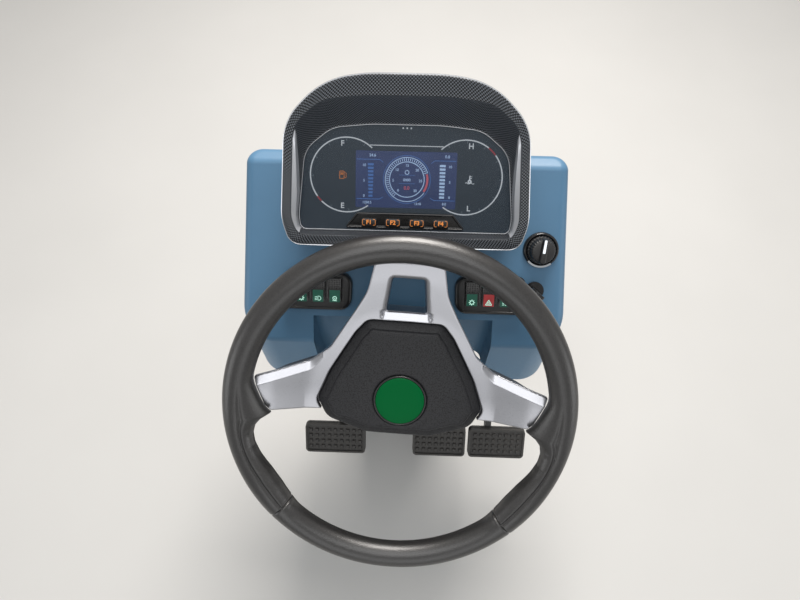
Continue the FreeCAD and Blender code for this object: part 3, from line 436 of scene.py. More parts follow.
def handling_group():
    """Large soft patches change the colour and gloss, and a little dust settles on faces that look up."""
    tree, given, wanted = group(
        "Handling and dust",
        [("Vector", "vector"), ("Colour", "colour"), ("Roughness", "value"), ("Unevenness", "value"),
         ("Dust", "value")],
        [("Colour", "colour"), ("Roughness", "value")])
    patches = add(tree, "ShaderNodeTexNoise", Vector=given.outputs["Vector"], Scale=14.0, Detail=4.0)
    centred = maths(tree, "SUBTRACT", patches.outputs["Fac"], 0.5)
    shift = maths(tree, "MULTIPLY", centred, given.outputs["Unevenness"])
    rough = maths(tree, "ADD", given.outputs["Roughness"], shift)
    lighter = add(tree, "ShaderNodeHueSaturation", Color=given.outputs["Colour"],
                  Value=maths(tree, "ADD", 1.0, maths(tree, "MULTIPLY", shift, 2.0)))
    facing = add(tree, "ShaderNodeSeparateXYZ", Vector=add(tree, "ShaderNodeNewGeometry").outputs["Normal"])
    specks = add(tree, "ShaderNodeTexNoise", Vector=given.outputs["Vector"], Scale=260.0, Detail=5.0)
    fall = add(tree, "ShaderNodeMapRange", Value=facing.outputs[2], From_Min=0.1, From_Max=1.0)
    dust = maths(tree, "MULTIPLY", maths(tree, "MULTIPLY", fall.outputs[0], specks.outputs["Fac"]),
                 given.outputs["Dust"])
    tree.links.new(blend(tree, dust, lighter.outputs[0], DUST_COLOUR), wanted.inputs["Colour"])
    tree.links.new(rising(tree, rough, 0.4, dust), wanted.inputs["Roughness"])
    return tree


PEBBLE, SPARK, WEAVE, HANDLING = pebble_group(), spark_group(), weave_group(), handling_group()
print("node groups:", [tree.name for tree in (PEBBLE, SPARK, WEAVE, HANDLING)])

# %% [markdown]
# Every material starts from the same few lines: its shader, with the values that stay fixed, and the
# piece's own coordinates. Then come its colour and roughness, and last its relief.

# %% Base of every material


def use(tree, shared, **inputs):
    """A shared effect placed in a material, with this material's own values."""
    return add(tree, "ShaderNodeGroup", {"node_tree": shared}, **inputs).outputs


def start(name, **constants):
    """A new material with its shader, its object coordinates and the shader's fixed values."""
    material = bpy.data.materials.new(name)
    material.use_nodes = True
    tree = material.node_tree
    shader = tree.nodes["Principled BSDF"]
    for key, value in constants.items():
        shader.inputs[key.replace("_", " ")].default_value = value
    return material, tree, shader, tree.nodes.new("ShaderNodeTexCoord").outputs["Object"]


def handled(tree, shader, place, colour, roughness, unevenness, dust):
    """Colour and roughness of a surface that has been used for a while."""
    out = use(tree, HANDLING, Vector=place, Colour=colour, Roughness=roughness,
              Unevenness=unevenness, Dust=dust)
    tree.links.new(out["Colour"], shader.inputs["Base Color"])
    tree.links.new(out["Roughness"], shader.inputs["Roughness"])


def bumped(tree, shader, height, depth):
    """Relief of a height from 0 to 1, as deep as depth in metres."""
    bump = add(tree, "ShaderNodeBump", Height=height, Distance=depth, Strength=1.0)
    tree.links.new(bump.outputs[0], shader.inputs["Normal"])


print("base of a material ready")


# %% [markdown]
# Plastics first. The console is slate blue, moulded with a fine spark-eroded texture. The rim and the
# hub cover have pebble grain, with painted shade in the valleys. Switches are black, nearly smooth.

# %% Plastics and rubber


def moulded(name, colour, roughness, grain=0.0009, depth=0.00006, unevenness=0.1, dust=0.05, **constants):
    """Moulded plastic: one colour with faint patches, fine grain, and a speckle in its gloss."""
    material, tree, shader, place = start(name, **constants)
    out = use(tree, SPARK, Vector=place, Size=grain)
    speckled = swaying(tree, roughness, 0.12, out["Speckle"])
    handled(tree, shader, place, colour, speckled, unevenness, dust)
    bumped(tree, shader, out["Height"], depth)
    return material


def grained(name, colour, valley_shade, roughness, size, depth, dust=0.02, **constants):
    """Pebble grain: painted shade darkens the colour in the valleys between the pebbles."""
    material, tree, shader, place = start(name, **constants)
    out = use(tree, PEBBLE, Vector=place, Size=size)
    handled(tree, shader, place, blend(tree, out["Valley shade"], colour, valley_shade), roughness, 0.12, dust)
    bumped(tree, shader, out["Height"], depth)
    return material


console_plastic = moulded("console_plastic", srgb(82, 125, 158), 0.42, dust=0.03)
shroud_plastic = moulded("shroud_plastic", srgb(62, 68, 74), 0.5, dust=0.1)
cluster_black = moulded("cluster_black", srgb(34, 35, 37), 0.4)
switch_black = moulded("switch_black", srgb(30, 31, 33), 0.36, grain=0.0006, depth=0.00003)
# Light grey with some metal, for strips and an edge that are painted reflections on the hood.
painted_highlight_grey = moulded("painted_highlight_grey", srgb(226, 229, 234), 0.22, depth=0.00001, Metallic=0.35)
switch_gloss = moulded("switch_gloss", srgb(22, 23, 25), 0.16, depth=0.00001, unevenness=0.05)
dial_grey = moulded("dial_grey", srgb(64, 77, 88), 0.5, depth=0.000004, dust=0.0)
# The second colour of each grain is painted shade, laid in the valleys between the pebbles.
rim_skin = grained("rim_skin", srgb(36, 35, 35), srgb(24, 23, 23), 0.34, 0.0015, 0.00011,
                   Specular_IOR_Level=0.85)
pad_skin = grained("pad_skin", srgb(44, 45, 48), srgb(24, 24, 27), 0.5, 0.0014, 0.00015,
                   Specular_IOR_Level=0.35)
boot_rubber = moulded("boot_rubber", srgb(38, 38, 40), 0.62, dust=0.15)
hose_rubber = moulded("hose_rubber", srgb(30, 30, 31), 0.6)
tread_rubber = moulded("tread_rubber", srgb(42, 43, 45), 0.55, grain=0.0012, depth=0.0001, dust=0.25)
print("materials so far:", len(bpy.data.materials))

# %% [markdown]
# Metals next. The spoke trim is plastic painted satin silver: fine flakes make its gloss sparkle a
# little. Frame and pedals are powder coated, and the shaft is turned steel.

# %% Metals


def metallic(name, colour, roughness, flake, metal=1.0, unevenness=0.06, dust=0.03, depth=0.00002):
    """Metal or metal paint: fine flakes change how sharply each spot reflects."""
    material, tree, shader, place = start(name, Metallic=metal)
    out = use(tree, SPARK, Vector=place, Size=flake)
    lively = swaying(tree, roughness, 0.2, out["Height"])
    handled(tree, shader, place, colour, lively, unevenness, dust)
    bumped(tree, shader, out["Height"], depth)
    return material


trim_silver = metallic("trim_silver", srgb(176, 177, 182), 0.3, 0.0007, metal=0.95)
# A bright metal for the hood's edge bead, which is a painted highlight along the lip.
painted_edge_highlight = metallic("painted_edge_highlight", srgb(215, 218, 222), 0.18, 0.0009)
chrome = metallic("chrome", srgb(205, 210, 214), 0.1, 0.001)
bare_steel = metallic("bare_steel", srgb(150, 150, 152), 0.3, 0.0012)
cast_alloy = metallic("cast_alloy", srgb(120, 121, 124), 0.5, 0.0016, depth=0.0001)
cast_iron = metallic("cast_iron", srgb(60, 61, 64), 0.6, 0.0018, metal=0.4, depth=0.00014, dust=0.1)
frame_paint = metallic("frame_paint", srgb(44, 45, 48), 0.45, 0.0014, metal=0.0, depth=0.00008, dust=0.12)
pedal_paint = metallic("pedal_paint", srgb(36, 37, 39), 0.38, 0.0012, metal=0.0, dust=0.12)
print("materials so far:", len(bpy.data.materials))

# %% [markdown]
# The hood has a woven look under clear gloss. Its pattern follows the surface, so it reads the piece's
# own attribute, which counts strands along the outline and across it.

# %% Woven gloss, glass and light


def woven():
    """Dark and light strands, partly the weave's pattern and partly painted reflection, with painted shade where
    they dip, under a thin clear coat.
    """
    material, tree, shader, place = start("hood_weave", Coat_Weight=0.3, Coat_Roughness=0.08,
                                          Specular_IOR_Level=0.2)
    cloth = add(tree, "ShaderNodeAttribute", {"attribute_name": "cloth"}).outputs["Vector"]
    out = use(tree, WEAVE, Cloth=cloth)
    # Light and dark strands: partly the pattern, partly a painted reflection; the dark colour below is painted
    # shade towards each dip.
    strand = blend(tree, out["Warp"], srgb(4, 5, 6), srgb(118, 124, 132))
    shaded = blend(tree, rising(tree, 0.25, 0.75, out["Painted sheen"]), srgb(12, 12, 14), strand)
    handled(tree, shader, place, shaded, 0.36, 0.05, 0.02)
    bumped(tree, shader, out["Height"], 0.00012)
    return material


def glassy():
    """Clear cover: two thirds of it let light straight through, and what is left is a soft grey gloss
    that varies a little, as wiped plastic does."""
    material, tree, shader, place = start("lens_glass", Specular_IOR_Level=0.2)
    wiped = add(tree, "ShaderNodeTexNoise", Vector=place, Scale=30.0, Detail=3.0).outputs["Fac"]
    tree.links.new(blend(tree, wiped, srgb(64, 76, 88), srgb(76, 88, 100)), shader.inputs["Base Color"])
    tree.links.new(rising(tree, 0.22, 0.1, wiped), shader.inputs["Roughness"])
    tree.links.new(rising(tree, 0.28, 0.06, wiped), shader.inputs["Alpha"])
    return material


def glowing(name, colour, strength, ripple=0.15):
    """A backlit print: it gives off its colour, a little unevenly."""
    material, tree, shader, place = start(name, Roughness=0.4, Emission_Strength=strength)
    noise = add(tree, "ShaderNodeTexNoise", Vector=place, Scale=120.0, Detail=1.0)
    dimmer = tuple(c * (1 - ripple) for c in colour[:3]) + (1.0,)
    lit = blend(tree, noise.outputs["Fac"], dimmer, colour)
    tree.links.new(lit, shader.inputs["Base Color"])
    tree.links.new(lit, shader.inputs["Emission Color"])
    return material


hood_weave = woven()
lens_glass = glassy()
print_white = glowing("print_white", srgb(214, 220, 226), 0.9)
print_grey = glowing("print_grey", srgb(120, 128, 136), 0.48)
print_red = glowing("print_red", srgb(170, 50, 56), 0.72)
print_amber = glowing("print_amber", srgb(214, 128, 52), 0.6)
screen_ice = glowing("screen_ice", srgb(176, 204, 240), 1.08)
screen_blue = glowing("screen_blue", srgb(70, 118, 190), 0.85)
screen_red = glowing("screen_red", srgb(214, 96, 110), 0.8)
lit_green = glowing("lit_green", srgb(6, 74, 58), 0.6, 0.35)
lit_red = glowing("lit_red", srgb(140, 40, 42), 0.75, 0.35)
icon_white = glowing("icon_white", srgb(180, 230, 212), 0.8)


def emblem():
    """Plain green enamel: even colour, clear gloss."""
    material, tree, shader, place = start("emblem_green", Specular_IOR_Level=0.08)
    out = use(tree, SPARK, Vector=place, Size=0.0012)
    handled(tree, shader, place, srgb(0, 100, 50), 0.4, 0.05, 0.0)
    bumped(tree, shader, out["Height"], 0.00001)
    return material


def navy():
    """The display's ground: navy, lighter and darker in soft patches."""
    material, tree, shader, place = start("screen_navy", Roughness=0.25, Emission_Strength=0.85)
    noise = add(tree, "ShaderNodeTexNoise", Vector=place, Scale=16.0, Detail=2.0)
    lit = blend(tree, noise.outputs["Fac"], srgb(22, 34, 78), srgb(48, 66, 122))
    tree.links.new(lit, shader.inputs["Base Color"])
    tree.links.new(lit, shader.inputs["Emission Color"])
    return material


emblem_green = emblem()
screen_navy = navy()
print("materials in all:", len(bpy.data.materials))

# %% [markdown]
# The rim is foam skin moulded round a steel ring. Its section is a circle that swells under the hands
# and reaches inwards as a thumb rest beside each spoke. It could be a torus with sculpted bumps, but a
# table of the section's radius round the wheel says the same, and stays exact.

# %% Steering wheel rim
RIM_OUTER, RIM_OUTER_BELOW = 200.0, 199.3
RIM_SECTION, THUMB_DROP = 16.0, 0.45
# degrees round the wheel from the right, section radius, reach of the thumb rest, both in millimetres
RIM_TABLE = np.array([
    (-90, 14.8, 0), (-50, 15.2, 0), (-44, 16.6, 0), (-38, 17.7, 0), (-31, 17.4, 0), (-23, 15.3, 0),
    (-18, 14.6, 0), (-14, 14.7, 1), (-10.8, 15.2, 4), (-8.8, 15.6, 10), (-7, 15.9, 21), (-6, 15.9, 18.5),
    (-4.4, 16, 15.5), (-2, 16, 12.2), (0, 16, 9.9), (2, 16, 7.6), (4, 16, 5.2), (6, 16, 2.6), (8, 16, 0.8),
    (10, 16, 0), (90, 16, 0)])
SEAM_ANGLES = (-45.0, 225.0)
SEAM_WIDTH, SEAM_DEPTH = 1.0, 1.5
CREASE_ANGLE, CREASE_WIDTH, CREASE_DEPTH = 106.0, 1.5, 1.8
CREASE_FROM, CREASE_FADE, CREASE_TO = 8.0, 16.0, -45.0


def rim_surface():
    """Round the wheel by an angle, round the section by another. Radius = outer radius, less the
    section's, plus the section's times the cosine; the inner half also reaches in by the thumb rest.
    A seam and a crease are narrow bell curves taken off the section's radius."""
    even = np.linspace(-90, 90, 241)
    near_seam = SEAM_ANGLES[0] + np.linspace(-1.6, 1.6, 21)
    half = np.unique(np.concatenate([even, near_seam, np.linspace(-20, 12, 81)]))
    turn = np.concatenate([half, 180 - half[::-1][1:-1]])
    mirror = np.where(turn > 90, 180 - turn, turn)
    section = np.interp(mirror, RIM_TABLE[:, 0], RIM_TABLE[:, 1])
    reach = np.interp(mirror, RIM_TABLE[:, 0], RIM_TABLE[:, 2])
    kernel = np.hanning(9) / np.hanning(9).sum()
    section = np.convolve(np.pad(section, 4, mode="wrap"), kernel, "valid")
    around = np.unique(np.concatenate([np.linspace(0, 360, 72, endpoint=False),
                                       CREASE_ANGLE + np.linspace(-12, 12, 25)]))
    t, p = np.radians(turn)[:, None], np.radians(around)[None]
    seam = sum(np.exp(-(((turn - at) * np.radians(RIM_OUTER)) / SEAM_WIDTH) ** 2) for at in SEAM_ANGLES)
    along = np.clip((CREASE_FROM - mirror) / CREASE_FADE, 0, 1) * np.clip((mirror - CREASE_TO) / 0.5, 0, 1)
    across = np.exp(-((np.radians(around - CREASE_ANGLE) * RIM_SECTION) / CREASE_WIDTH) ** 2)
    radius = section[:, None] - SEAM_DEPTH * seam[:, None] - CREASE_DEPTH * along[:, None] * across
    inner = np.clip(-np.cos(p), 0, 1)
    outer = np.interp(mirror, (-90, -44), (RIM_OUTER_BELOW, RIM_OUTER))
    out = (outer - section)[:, None] + radius * np.cos(p) - reach[:, None] * inner ** 1.5
    high = radius * np.sin(p) - THUMB_DROP * reach[:, None] * inner ** 2
    return grid(on_wheel(out * np.cos(t), out * np.sin(t), high)[:, ::-1], True, True)


piece("steering_rim", rim_surface(), rim_skin, "wheel_rim", replaces=True)

# %% [markdown]
# The spoke trim is one silver moulding: two wings, two arms and a window at the top. Its sheet is made
# of patches that share their edges: each wing fills the space between four curves, each arm is ruled
# from the hub cover's gap to the outer edge, and a ring of strips goes round the window. One height
# formula lifts them all: the dish of the wheel, less what the edges are rounded or bevelled.

# %% Spoke trim, its outlines and its height
TRIM_HALF = [(150, -20, 4), (156, -12, 10), (169, 23, 3), (138, 31.5, 60), (107, 40.5, 20), (84.5, 59, 18),
             (58, 105, 60), (45, 130, 60), (38, 167, 8)]
PAD_HALF = [(39, -46, 30), (86, -31, 20), (98, -8, 12), (84, 28, 60), (56, 78, 40), (43, 94, 12)]
WINDOW_FOOT, WINDOW_HEAD = 105.5, 148.5
WINDOW_HALF = [(23.5, WINDOW_FOOT, 4), (18.4, WINDOW_HEAD, 4)]
PAD_GAP = 0.9
TRIM_THICK = 8.5
DISH_RADII, DISH_HEIGHTS = (0, 62, 108, 150, 175, 200), (-40.6, -40.6, -28.6, -12.6, -6.6, -6.6)
trim_loop = rounded(mirrored(TRIM_HALF), 0.7)
pad_loop = rounded(mirrored(PAD_HALF), 0.7)
gap_loop = inset(pad_loop, -PAD_GAP)
window_loop = rounded(mirrored(WINDOW_HALF), 0.7)
WING_EDGE = run(trim_loop, (168, 24), (96, 48), 80)
BEVEL_WIDTH, BEVEL_DEPTH = 10.5, 6.2
BEVEL_FROM, BEVEL_FULL = 84.0, 108.0
SILL_WIDTH, SILL_DEPTH, SILL_HALF = 10.5, 6.4, 29.0
CHAMFER_WIDTH, CHAMFER_DEPTH = 3.6, 2.6
TRIM_ROUND, GAP_ROUND, WINDOW_ROUND = 1.6, 1.3, 0.8
CROWN_BELOW, CROWN_REACH, CROWN_DROP = 12.0, 30.0, 4.0
print("trim outline:", len(trim_loop), "points; window:", len(window_loop))


def dish(x, y):
    """Height of the spokes' front, eased over 24 mm where its slope changes."""
    radii = np.arange(0, 230.0)
    kernel = np.hanning(25) / np.hanning(25).sum()
    eased = np.convolve(np.pad(np.interp(radii, DISH_RADII, DISH_HEIGHTS), 12, mode="edge"), kernel, "valid")
    return np.interp(np.hypot(x, y), radii, eased)


def rolled(distance, radius):
    """What a quarter round takes off the height, at a distance from its edge."""
    short = np.clip(radius - distance, 0, radius)
    return radius - np.sqrt(radius ** 2 - short ** 2)


def trim_height(xy):
    """The dish, less the rounds at all edges, the wide bevel on the wings and the window's sill."""
    x, y = np.abs(xy[:, 0]), xy[:, 1]
    half = np.stack([x, y], 1)
    taken = rolled(away_from(half, trim_loop), TRIM_ROUND) + rolled(away_from(half, gap_loop), GAP_ROUND)
    to_window = away_from(half, window_loop)
    below = WINDOW_FOOT - y
    chamfer = np.clip(1 - to_window / CHAMFER_WIDTH, 0, 1) * np.clip((1.5 - below) / 3, 0, 1)
    taken += rolled(to_window, WINDOW_ROUND) + CHAMFER_DEPTH * chamfer
    sill = np.clip(1 - below / SILL_WIDTH, 0, 1) * np.clip((below + 3) / 3, 0, 1)
    sill *= np.clip((SILL_HALF - x) / 3, 0, 1)
    edge = np.linalg.norm(half[:, None] - WING_EDGE[None, ::2], axis=-1).min(1)
    width = np.interp(x, (BEVEL_FROM, BEVEL_FULL), (2.5, BEVEL_WIDTH))
    bevel = np.clip(1 - edge / width, 0, 1) * np.interp(x, (BEVEL_FROM, BEVEL_FULL), (1.0, BEVEL_DEPTH))
    crown = np.interp(x, (86, 112), (0, 1)) * (np.clip(CROWN_BELOW - y, 0, 40) / CROWN_REACH) ** 2
    return dish(x, y) - taken - SILL_DEPTH * sill - bevel - CROWN_DROP * crown


def eased(count):
    """Shares from 0 to 1 that crowd towards both ends, where the edges are round."""
    return (1 - np.cos(np.linspace(0, np.pi, count))) / 2


def filled(low, high, left, right):
    """The space between four curves: the mean of both rulings, less what the corners count twice."""
    u, v = np.linspace(0, 1, len(low))[None, :, None], np.linspace(0, 1, len(left))[:, None, None]
    ruled = (1 - v) * low[None] + v * high[None] + (1 - u) * left[:, None] + u * right[:, None]
    corners = (1 - u) * (1 - v) * low[0] + u * (1 - v) * low[-1] + (1 - u) * v * high[0] + u * v * high[-1]
    return ruled - corners


# %% [markdown]
# A patch is rows of points between two curves, so neighbours share an edge exactly. Wing and arm meet
# at one straight cut, and so do arm and window surround.

# %% Spoke trim, its patches
SHARE = eased(22)
CUT_LOW, CUT_HIGH = ((85, 27), (100, 46)), ((43.5, 93), (62, 99))
PAD_LOW, TIP_LOW, TIP_HIGH, ARM_TOP = (93.5, -20), (148, -20), (169, 22), (38, 167)
WINDOW_STOPS = ((0, 105), (23, 106), (22.5, 114), (18.4, 148), (0, WINDOW_HEAD))


def between(first, second, share=SHARE):
    """Rows of points from one curve to the other."""
    return first[None] + share[:, None, None] * (second - first)[None]


def straight(first, second, share):
    """Points on the line from one point to another, at the given shares."""
    return first + share[:, None] * (second - first)


def chained(loop, stops, counts):
    """The loop's stretches from stop to stop, each with its own number of points, as one path."""
    parts = [run(loop, first, last, count) for first, last, count in zip(stops, stops[1:], counts)]
    return np.vstack([part[:-1] for part in parts[:-1]] + [parts[-1]])


def trim_patches():
    """Wing, arm and window surround of the right half."""
    side = run(gap_loop, PAD_LOW, CUT_LOW[0], 60)
    tip = run(trim_loop, TIP_LOW, TIP_HIGH, 60)
    low = straight(side[0], tip[0], np.linspace(0, 1, 75))
    edge = run(trim_loop, TIP_HIGH, CUT_LOW[1], 54)[::-1]
    cut = straight(side[-1], edge[0], SHARE)
    wing = filled(low, np.vstack([cut[:-1], edge]), side, tip)
    inner = run(gap_loop, CUT_LOW[0], CUT_HIGH[0], 70)
    outer = run(trim_loop, CUT_LOW[1], CUT_HIGH[1], 70)
    arm = between(inner, outer)
    top_cut = straight(inner[-1], outer[-1], SHARE)
    sill = run(gap_loop, CUT_HIGH[0], (0, 95), 24)[::-1]
    top = chained(trim_loop, (CUT_HIGH[1], ARM_TOP, (0, ARM_TOP[1])), (50, 30))
    around = np.vstack([sill[:-1], top_cut[:-1], top])
    window = chained(window_loop, WINDOW_STOPS, (24, 22, 50, 30))
    around[[0, -1], 0] = window[[0, -1], 0] = 0
    return wing, arm.transpose(1, 0, 2), between(window, around).transpose(1, 0, 2)


def spoke_sheet():
    """All patches, mirrored to the left, joined where they meet, as flat points and faces."""
    points, faces, count = [], [], 0
    for patch in trim_patches():
        for side in (1, -1):
            cells = quads(*patch.shape[:2]) + count
            flat = patch.reshape(-1, 2)
            a, b, c = flat[cells[0, 0] - count], flat[cells[0, 1] - count], flat[cells[0, 2] - count]
            turns_left = np.cross(b - a, c - b) > 0
            points.append(np.column_stack([flat * (side, 1), np.zeros(len(flat))]) * MM)
            faces.append(cells if turns_left == (side > 0) else cells[:, ::-1])
            count += len(flat)
    return merged(np.vstack(points), np.vstack(faces))


flat, cells = spoke_sheet()
xy = flat[:, :2] / MM
front = on_wheel(*xy.T, trim_height(xy))
back = on_wheel(*xy.T, dish(*xy.T) - TRIM_THICK)
SLEEVE_WALL, SLEEVE_DEPTH = 2.6, 33.0
# distance inwards from the window's outline, and height over the dish
sleeve_rows = [(-SLEEVE_WALL, -SLEEVE_DEPTH), (-SLEEVE_WALL, -8.2), (0.0, -7.8), (1.2, -SLEEVE_DEPTH)]
sleeve_xy = [inset(window_loop, by) for by, _ in sleeve_rows]
sleeve = grid(np.stack([on_wheel(*loop.T, dish(*loop.T) + drop)
                        for loop, (_, drop) in zip(sleeve_xy, sleeve_rows)]), True, True)
piece("spoke_trim_silver", together([thickened(front, back, cells), sleeve]), trim_silver, "spoke_trim",
      replaces=True, smooth=32)

# %% [markdown]
# The hub cover is a grained cushion: a bevelled border, a small step and a crowned middle with a round
# seat for the emblem. It is drawn as rings about the column, from the outline inwards, so a ring's
# distance from the outline decides its height.

# %% Hub cover and emblem
PAD_TOP, PAD_CROWN = -26.0, 1200.0
SEAT_R, EMBLEM_R = 31.0, 28.6
# distance in from the outline, and how far below the crown the surface lies there
PAD_EDGE = [(0, 26), (0, 9.5), (0.3, 8.0), (1.0, 6.7), (2.2, 5.7), (9.2, 2.6), (9.8, 2.45), (10.3, 2.1),
                (10.8, 1.2), (11.6, 0.5), (13.0, 0.15), (15.0, 0.0)]
# distance out from the emblem's seat, and how far below the crown
SEAT_EDGE = [(3.0, 0.1), (1.6, 0.7), (0.5, 1.6), (0.0, 3.0)]


def hub_cover():
    """Ring k lies in from the outline by a distance along the ray to the centre, over the cosine of
    the outline's slant there; further rings run on evenly to the emblem's round seat."""
    loop = spaced(pad_loop, 480, closed=True)
    reach = np.linalg.norm(loop, axis=1)
    ray = loop / reach[:, None]
    along = unit(np.roll(loop, -1, 0) - np.roll(loop, 1, 0))
    slant = np.clip(np.abs(ray[:, 0] * along[:, 1] - ray[:, 1] * along[:, 0]), 0.55, 1)
    rings = [(reach - by / slant, drop) for by, drop in PAD_EDGE]
    inner = rings[-1][0]
    for share in np.linspace(0.06, 1, 26):
        rings.append((inner + share * (SEAT_R + 4 - inner), 0.0))
    rings += [(np.full(len(loop), SEAT_R + out), drop) for out, drop in SEAT_EDGE]
    rows = []
    for radius, drop in rings:
        x, y = (ray * radius[:, None]).T
        rows.append(on_wheel(x, y, PAD_TOP - (x ** 2 + y ** 2) / (2 * PAD_CROWN) - drop))
    return grid(np.stack(rows), round_columns=True, low_cap=True, high_cap=True)


piece("hub_cover", hub_cover(), pad_skin, "hub_pad", replaces=True, smooth=50)
# radius, and height over the crown's top
BEZEL = [(EMBLEM_R, -3), (SEAT_R - 0.1, -3), (SEAT_R - 0.1, -0.6), (SEAT_R - 0.8, 0.1), (EMBLEM_R + 0.8, 0.1),
         (EMBLEM_R + 0.1, -0.5)]
DOME = [(EMBLEM_R - 0.1, -2.9), (EMBLEM_R - 0.1, -0.2), (EMBLEM_R - 0.5, 0.25), (EMBLEM_R - 1.4, 0.5),
        (20, 0.8), (10, 0.95), (0.5, 1.0)]
piece("emblem_bezel", revolved(over(PAD_TOP, BEZEL), on_wheel, steps=128, hollow=True), switch_black,
      "emblem_ring", replaces=True)
piece("emblem_plate", revolved(over(PAD_TOP, DOME), on_wheel, steps=128), emblem_green, "emblem_disc",
      replaces=True)

# %% [markdown]
# Two small horns are embossed on the cover, left and right of the emblem. Each is a flat outline of a
# few corners, lifted by a quarter of a millimetre.

# %% Horn signs on the hub cover
HORN_X, HORN_Y = 63.0, 3.0
HORN_SHAPES = [
    [(-5, -1.6, 0.5), (-2.4, -1.6, 0.3), (2.4, -4.2, 0.5), (2.4, 4.2, 0.5), (-2.4, 1.6, 0.3), (-5, 1.6, 0.5)],
    [(3.6, -2.6, 0.3), (5.0, -3.2, 0.3), (5.0, -2.4, 0.2), (3.8, -1.9, 0.2)],
    [(3.9, -0.4, 0.2), (5.6, -0.4, 0.2), (5.6, 0.4, 0.2), (3.9, 0.4, 0.2)],
    [(3.8, 1.9, 0.2), (5.0, 2.4, 0.2), (5.0, 3.2, 0.3), (3.6, 2.6, 0.3)]]
HORN_LEVEL = PAD_TOP - (HORN_X ** 2 + HORN_Y ** 2) / (2 * PAD_CROWN)


def horn(side):
    """The sign's parts on one side of the emblem, as solids with a small bevel."""
    edge = over(HORN_LEVEL, [(0, -0.6), (0, 0.1), (0.15, 0.3)])
    return together([lifted(rounded(corners, 0.4) + (side * HORN_X, HORN_Y), edge, on_wheel)
                     for corners in HORN_SHAPES])


piece("horn_signs", together([horn(-1), horn(1)]), pad_skin, "hub_pad", smooth=40)

# %% [markdown]
# Behind the trim are the cast armature, a round cover over the boss, the shaft and its nut. Their CAD
# forms are right, so they only get skins. The back cover is turned again for a finer curve.

# %% Behind the wheel
skin("wheel_armature", cast_alloy)
skin("steering_shaft", bare_steel)
skin("shaft_nut", bare_steel)
COVER_R = 52.0
cover = [(20, -91.6), (43, -92), (47, -91), (50, -88.5), (51.6, -85), (COVER_R, -82), (COVER_R, -57.2),
         (48, -57.2), (48, -82.5), (46.5, -86), (43, -88), (20, -88)]
piece("hub_back_shell", revolved(cover, on_wheel, steps=128, hollow=True), switch_black,
      "hub_back_cover", replaces=True)

# %% [markdown]
# The console's head, its pedestal and the steel frame keep their CAD form. Their finish does the
# work: slate plastic for the head, darker plastic below, powder coat on the steel.

# %% Console, frame and column skins
skin("head_shell", console_plastic)
skin("lower_shroud", shroud_plastic)
skin("service_panel", shroud_plastic)
for node in ("floor_flange", "frame_posts", "frame_cross_beam", "column_bracket", "column_jacket"):
    skin(node, frame_paint)
skin("pedal_shaft", bare_steel)
skin("column_bush", cluster_black)
skin("steering_valve", cast_iron)
skin("steering_hoses", hose_rubber)
skin("column_boot", boot_rubber, smooth=50)
skin("column_shroud", switch_black, smooth=40)

# %% [markdown]
# The instrument hood is a thick shell with a woven look. One grid makes all of it: a ring at its foot,
# up the outside, over the rounded lip, down the flared mouth, to the cover's ledge. Rings are matched
# at the same named corners, so the weave runs straight from one to the next. The foot follows the
# console: level with the deck at first, then down over the flat top of the head.

# %% Instrument hood, its outlines
LIP_LOW_A, LIP_LOW_N, LIP_SLOPE = 177.0, -48.0, math.tan(math.radians(13.4))
HOOD_LIP = [(130, 178, 16), (138, 208, 60), (128, 312, 60), (86, 352, 90), (40, 359, 200)]
HOOD_MOUTH = [(120, 190, 12), (127.5, 208, 40), (119, 308, 37), (88, 333, 44), (44, 338, 175)]
LENS_OUTLINE = [(120, 194, 8), (122.5, 210, 40), (115, 284, 34), (84, 309, 40), (40, 313.5, 160)]
HOOD_FOOT = [(120.5, 180, 16), (125.5, 208, 60), (125, 248, 46), (92, 276, 56), (44, 279, 170)]
FOOT_N, LENS_TOP, SEAT_N = -133.0, -60.0, -68.0
DECK_N, DECK_HIGH = -115.0, 270.0
HOOD_COUNTS = (60, 12, 44, 30, 40)


def matched(half):
    """A ring's points, with the same number between the same corners on every ring, to the left too."""
    loop = rounded(mirrored(half), 0.6)
    low, high = loop[:, 1].min(), loop[:, 1].max()
    stops = [(0, low)] + [(x, y) for x, y, _ in half[:4]] + [(0, high)]
    right = [run(loop, a, b, count + 1)[:-1] for a, b, count in zip(stops, stops[1:], HOOD_COUNTS)]
    right = np.vstack(right + [[(0, high)]])
    right[0, 0] = 0
    return np.vstack([right, right[-2:0:-1] * (-1, 1)])


def lip_level(a):
    """Height of the lip's plane, which slopes up away from the driver."""
    return LIP_LOW_N + (a - LIP_LOW_A) * LIP_SLOPE


def head_level(a):
    """Height of the head's surface in the deck frame: the deck, then the level top beyond its edge."""
    return DECK_N - np.clip(a - DECK_HIGH, 0, None) * UP_DECK[2] / UP_COLUMN[2]


print("lip rises from", LIP_LOW_N, "to", round(lip_level(359.0), 1))

# %% [markdown]
# The rings follow one another without a break: outside wall, lip, flare, ledge, and back down inside.
# So the shell has a real thickness everywhere, and closes on itself at the foot.

# %% Instrument hood, its rings
LIP_ROUND, LIP_DROP, FLARE, LEDGE_IN = 2.2, 1.2, 1.15, 1.4


def outer_rings(foot, lip):
    """Outside wall, straight from foot to lip but for a slight bulge, then the lip's quarter round."""
    top = lip_level(lip[:, 1])
    sunk = (head_level(foot[:, 1]) - 2.5 - FOOT_N) / (top - FOOT_N)
    rings = []
    for step in np.linspace(0, 1, 24) ** 0.8:
        share = (sunk + (1 - sunk) * step)[:, None]
        bulge = 2.5 * math.sin(math.pi * step) * (1 - step)
        level = FOOT_N + (top - LIP_ROUND - FOOT_N) * share[:, 0]
        rings.append((inset(foot + (lip - foot) * share, -bulge), level))
    for t in np.linspace(0.15, 1, 6) * math.pi / 2:
        rings.append((inset(lip, LIP_ROUND * (1 - math.cos(t))), top - LIP_ROUND * (1 - math.sin(t))))
    return rings


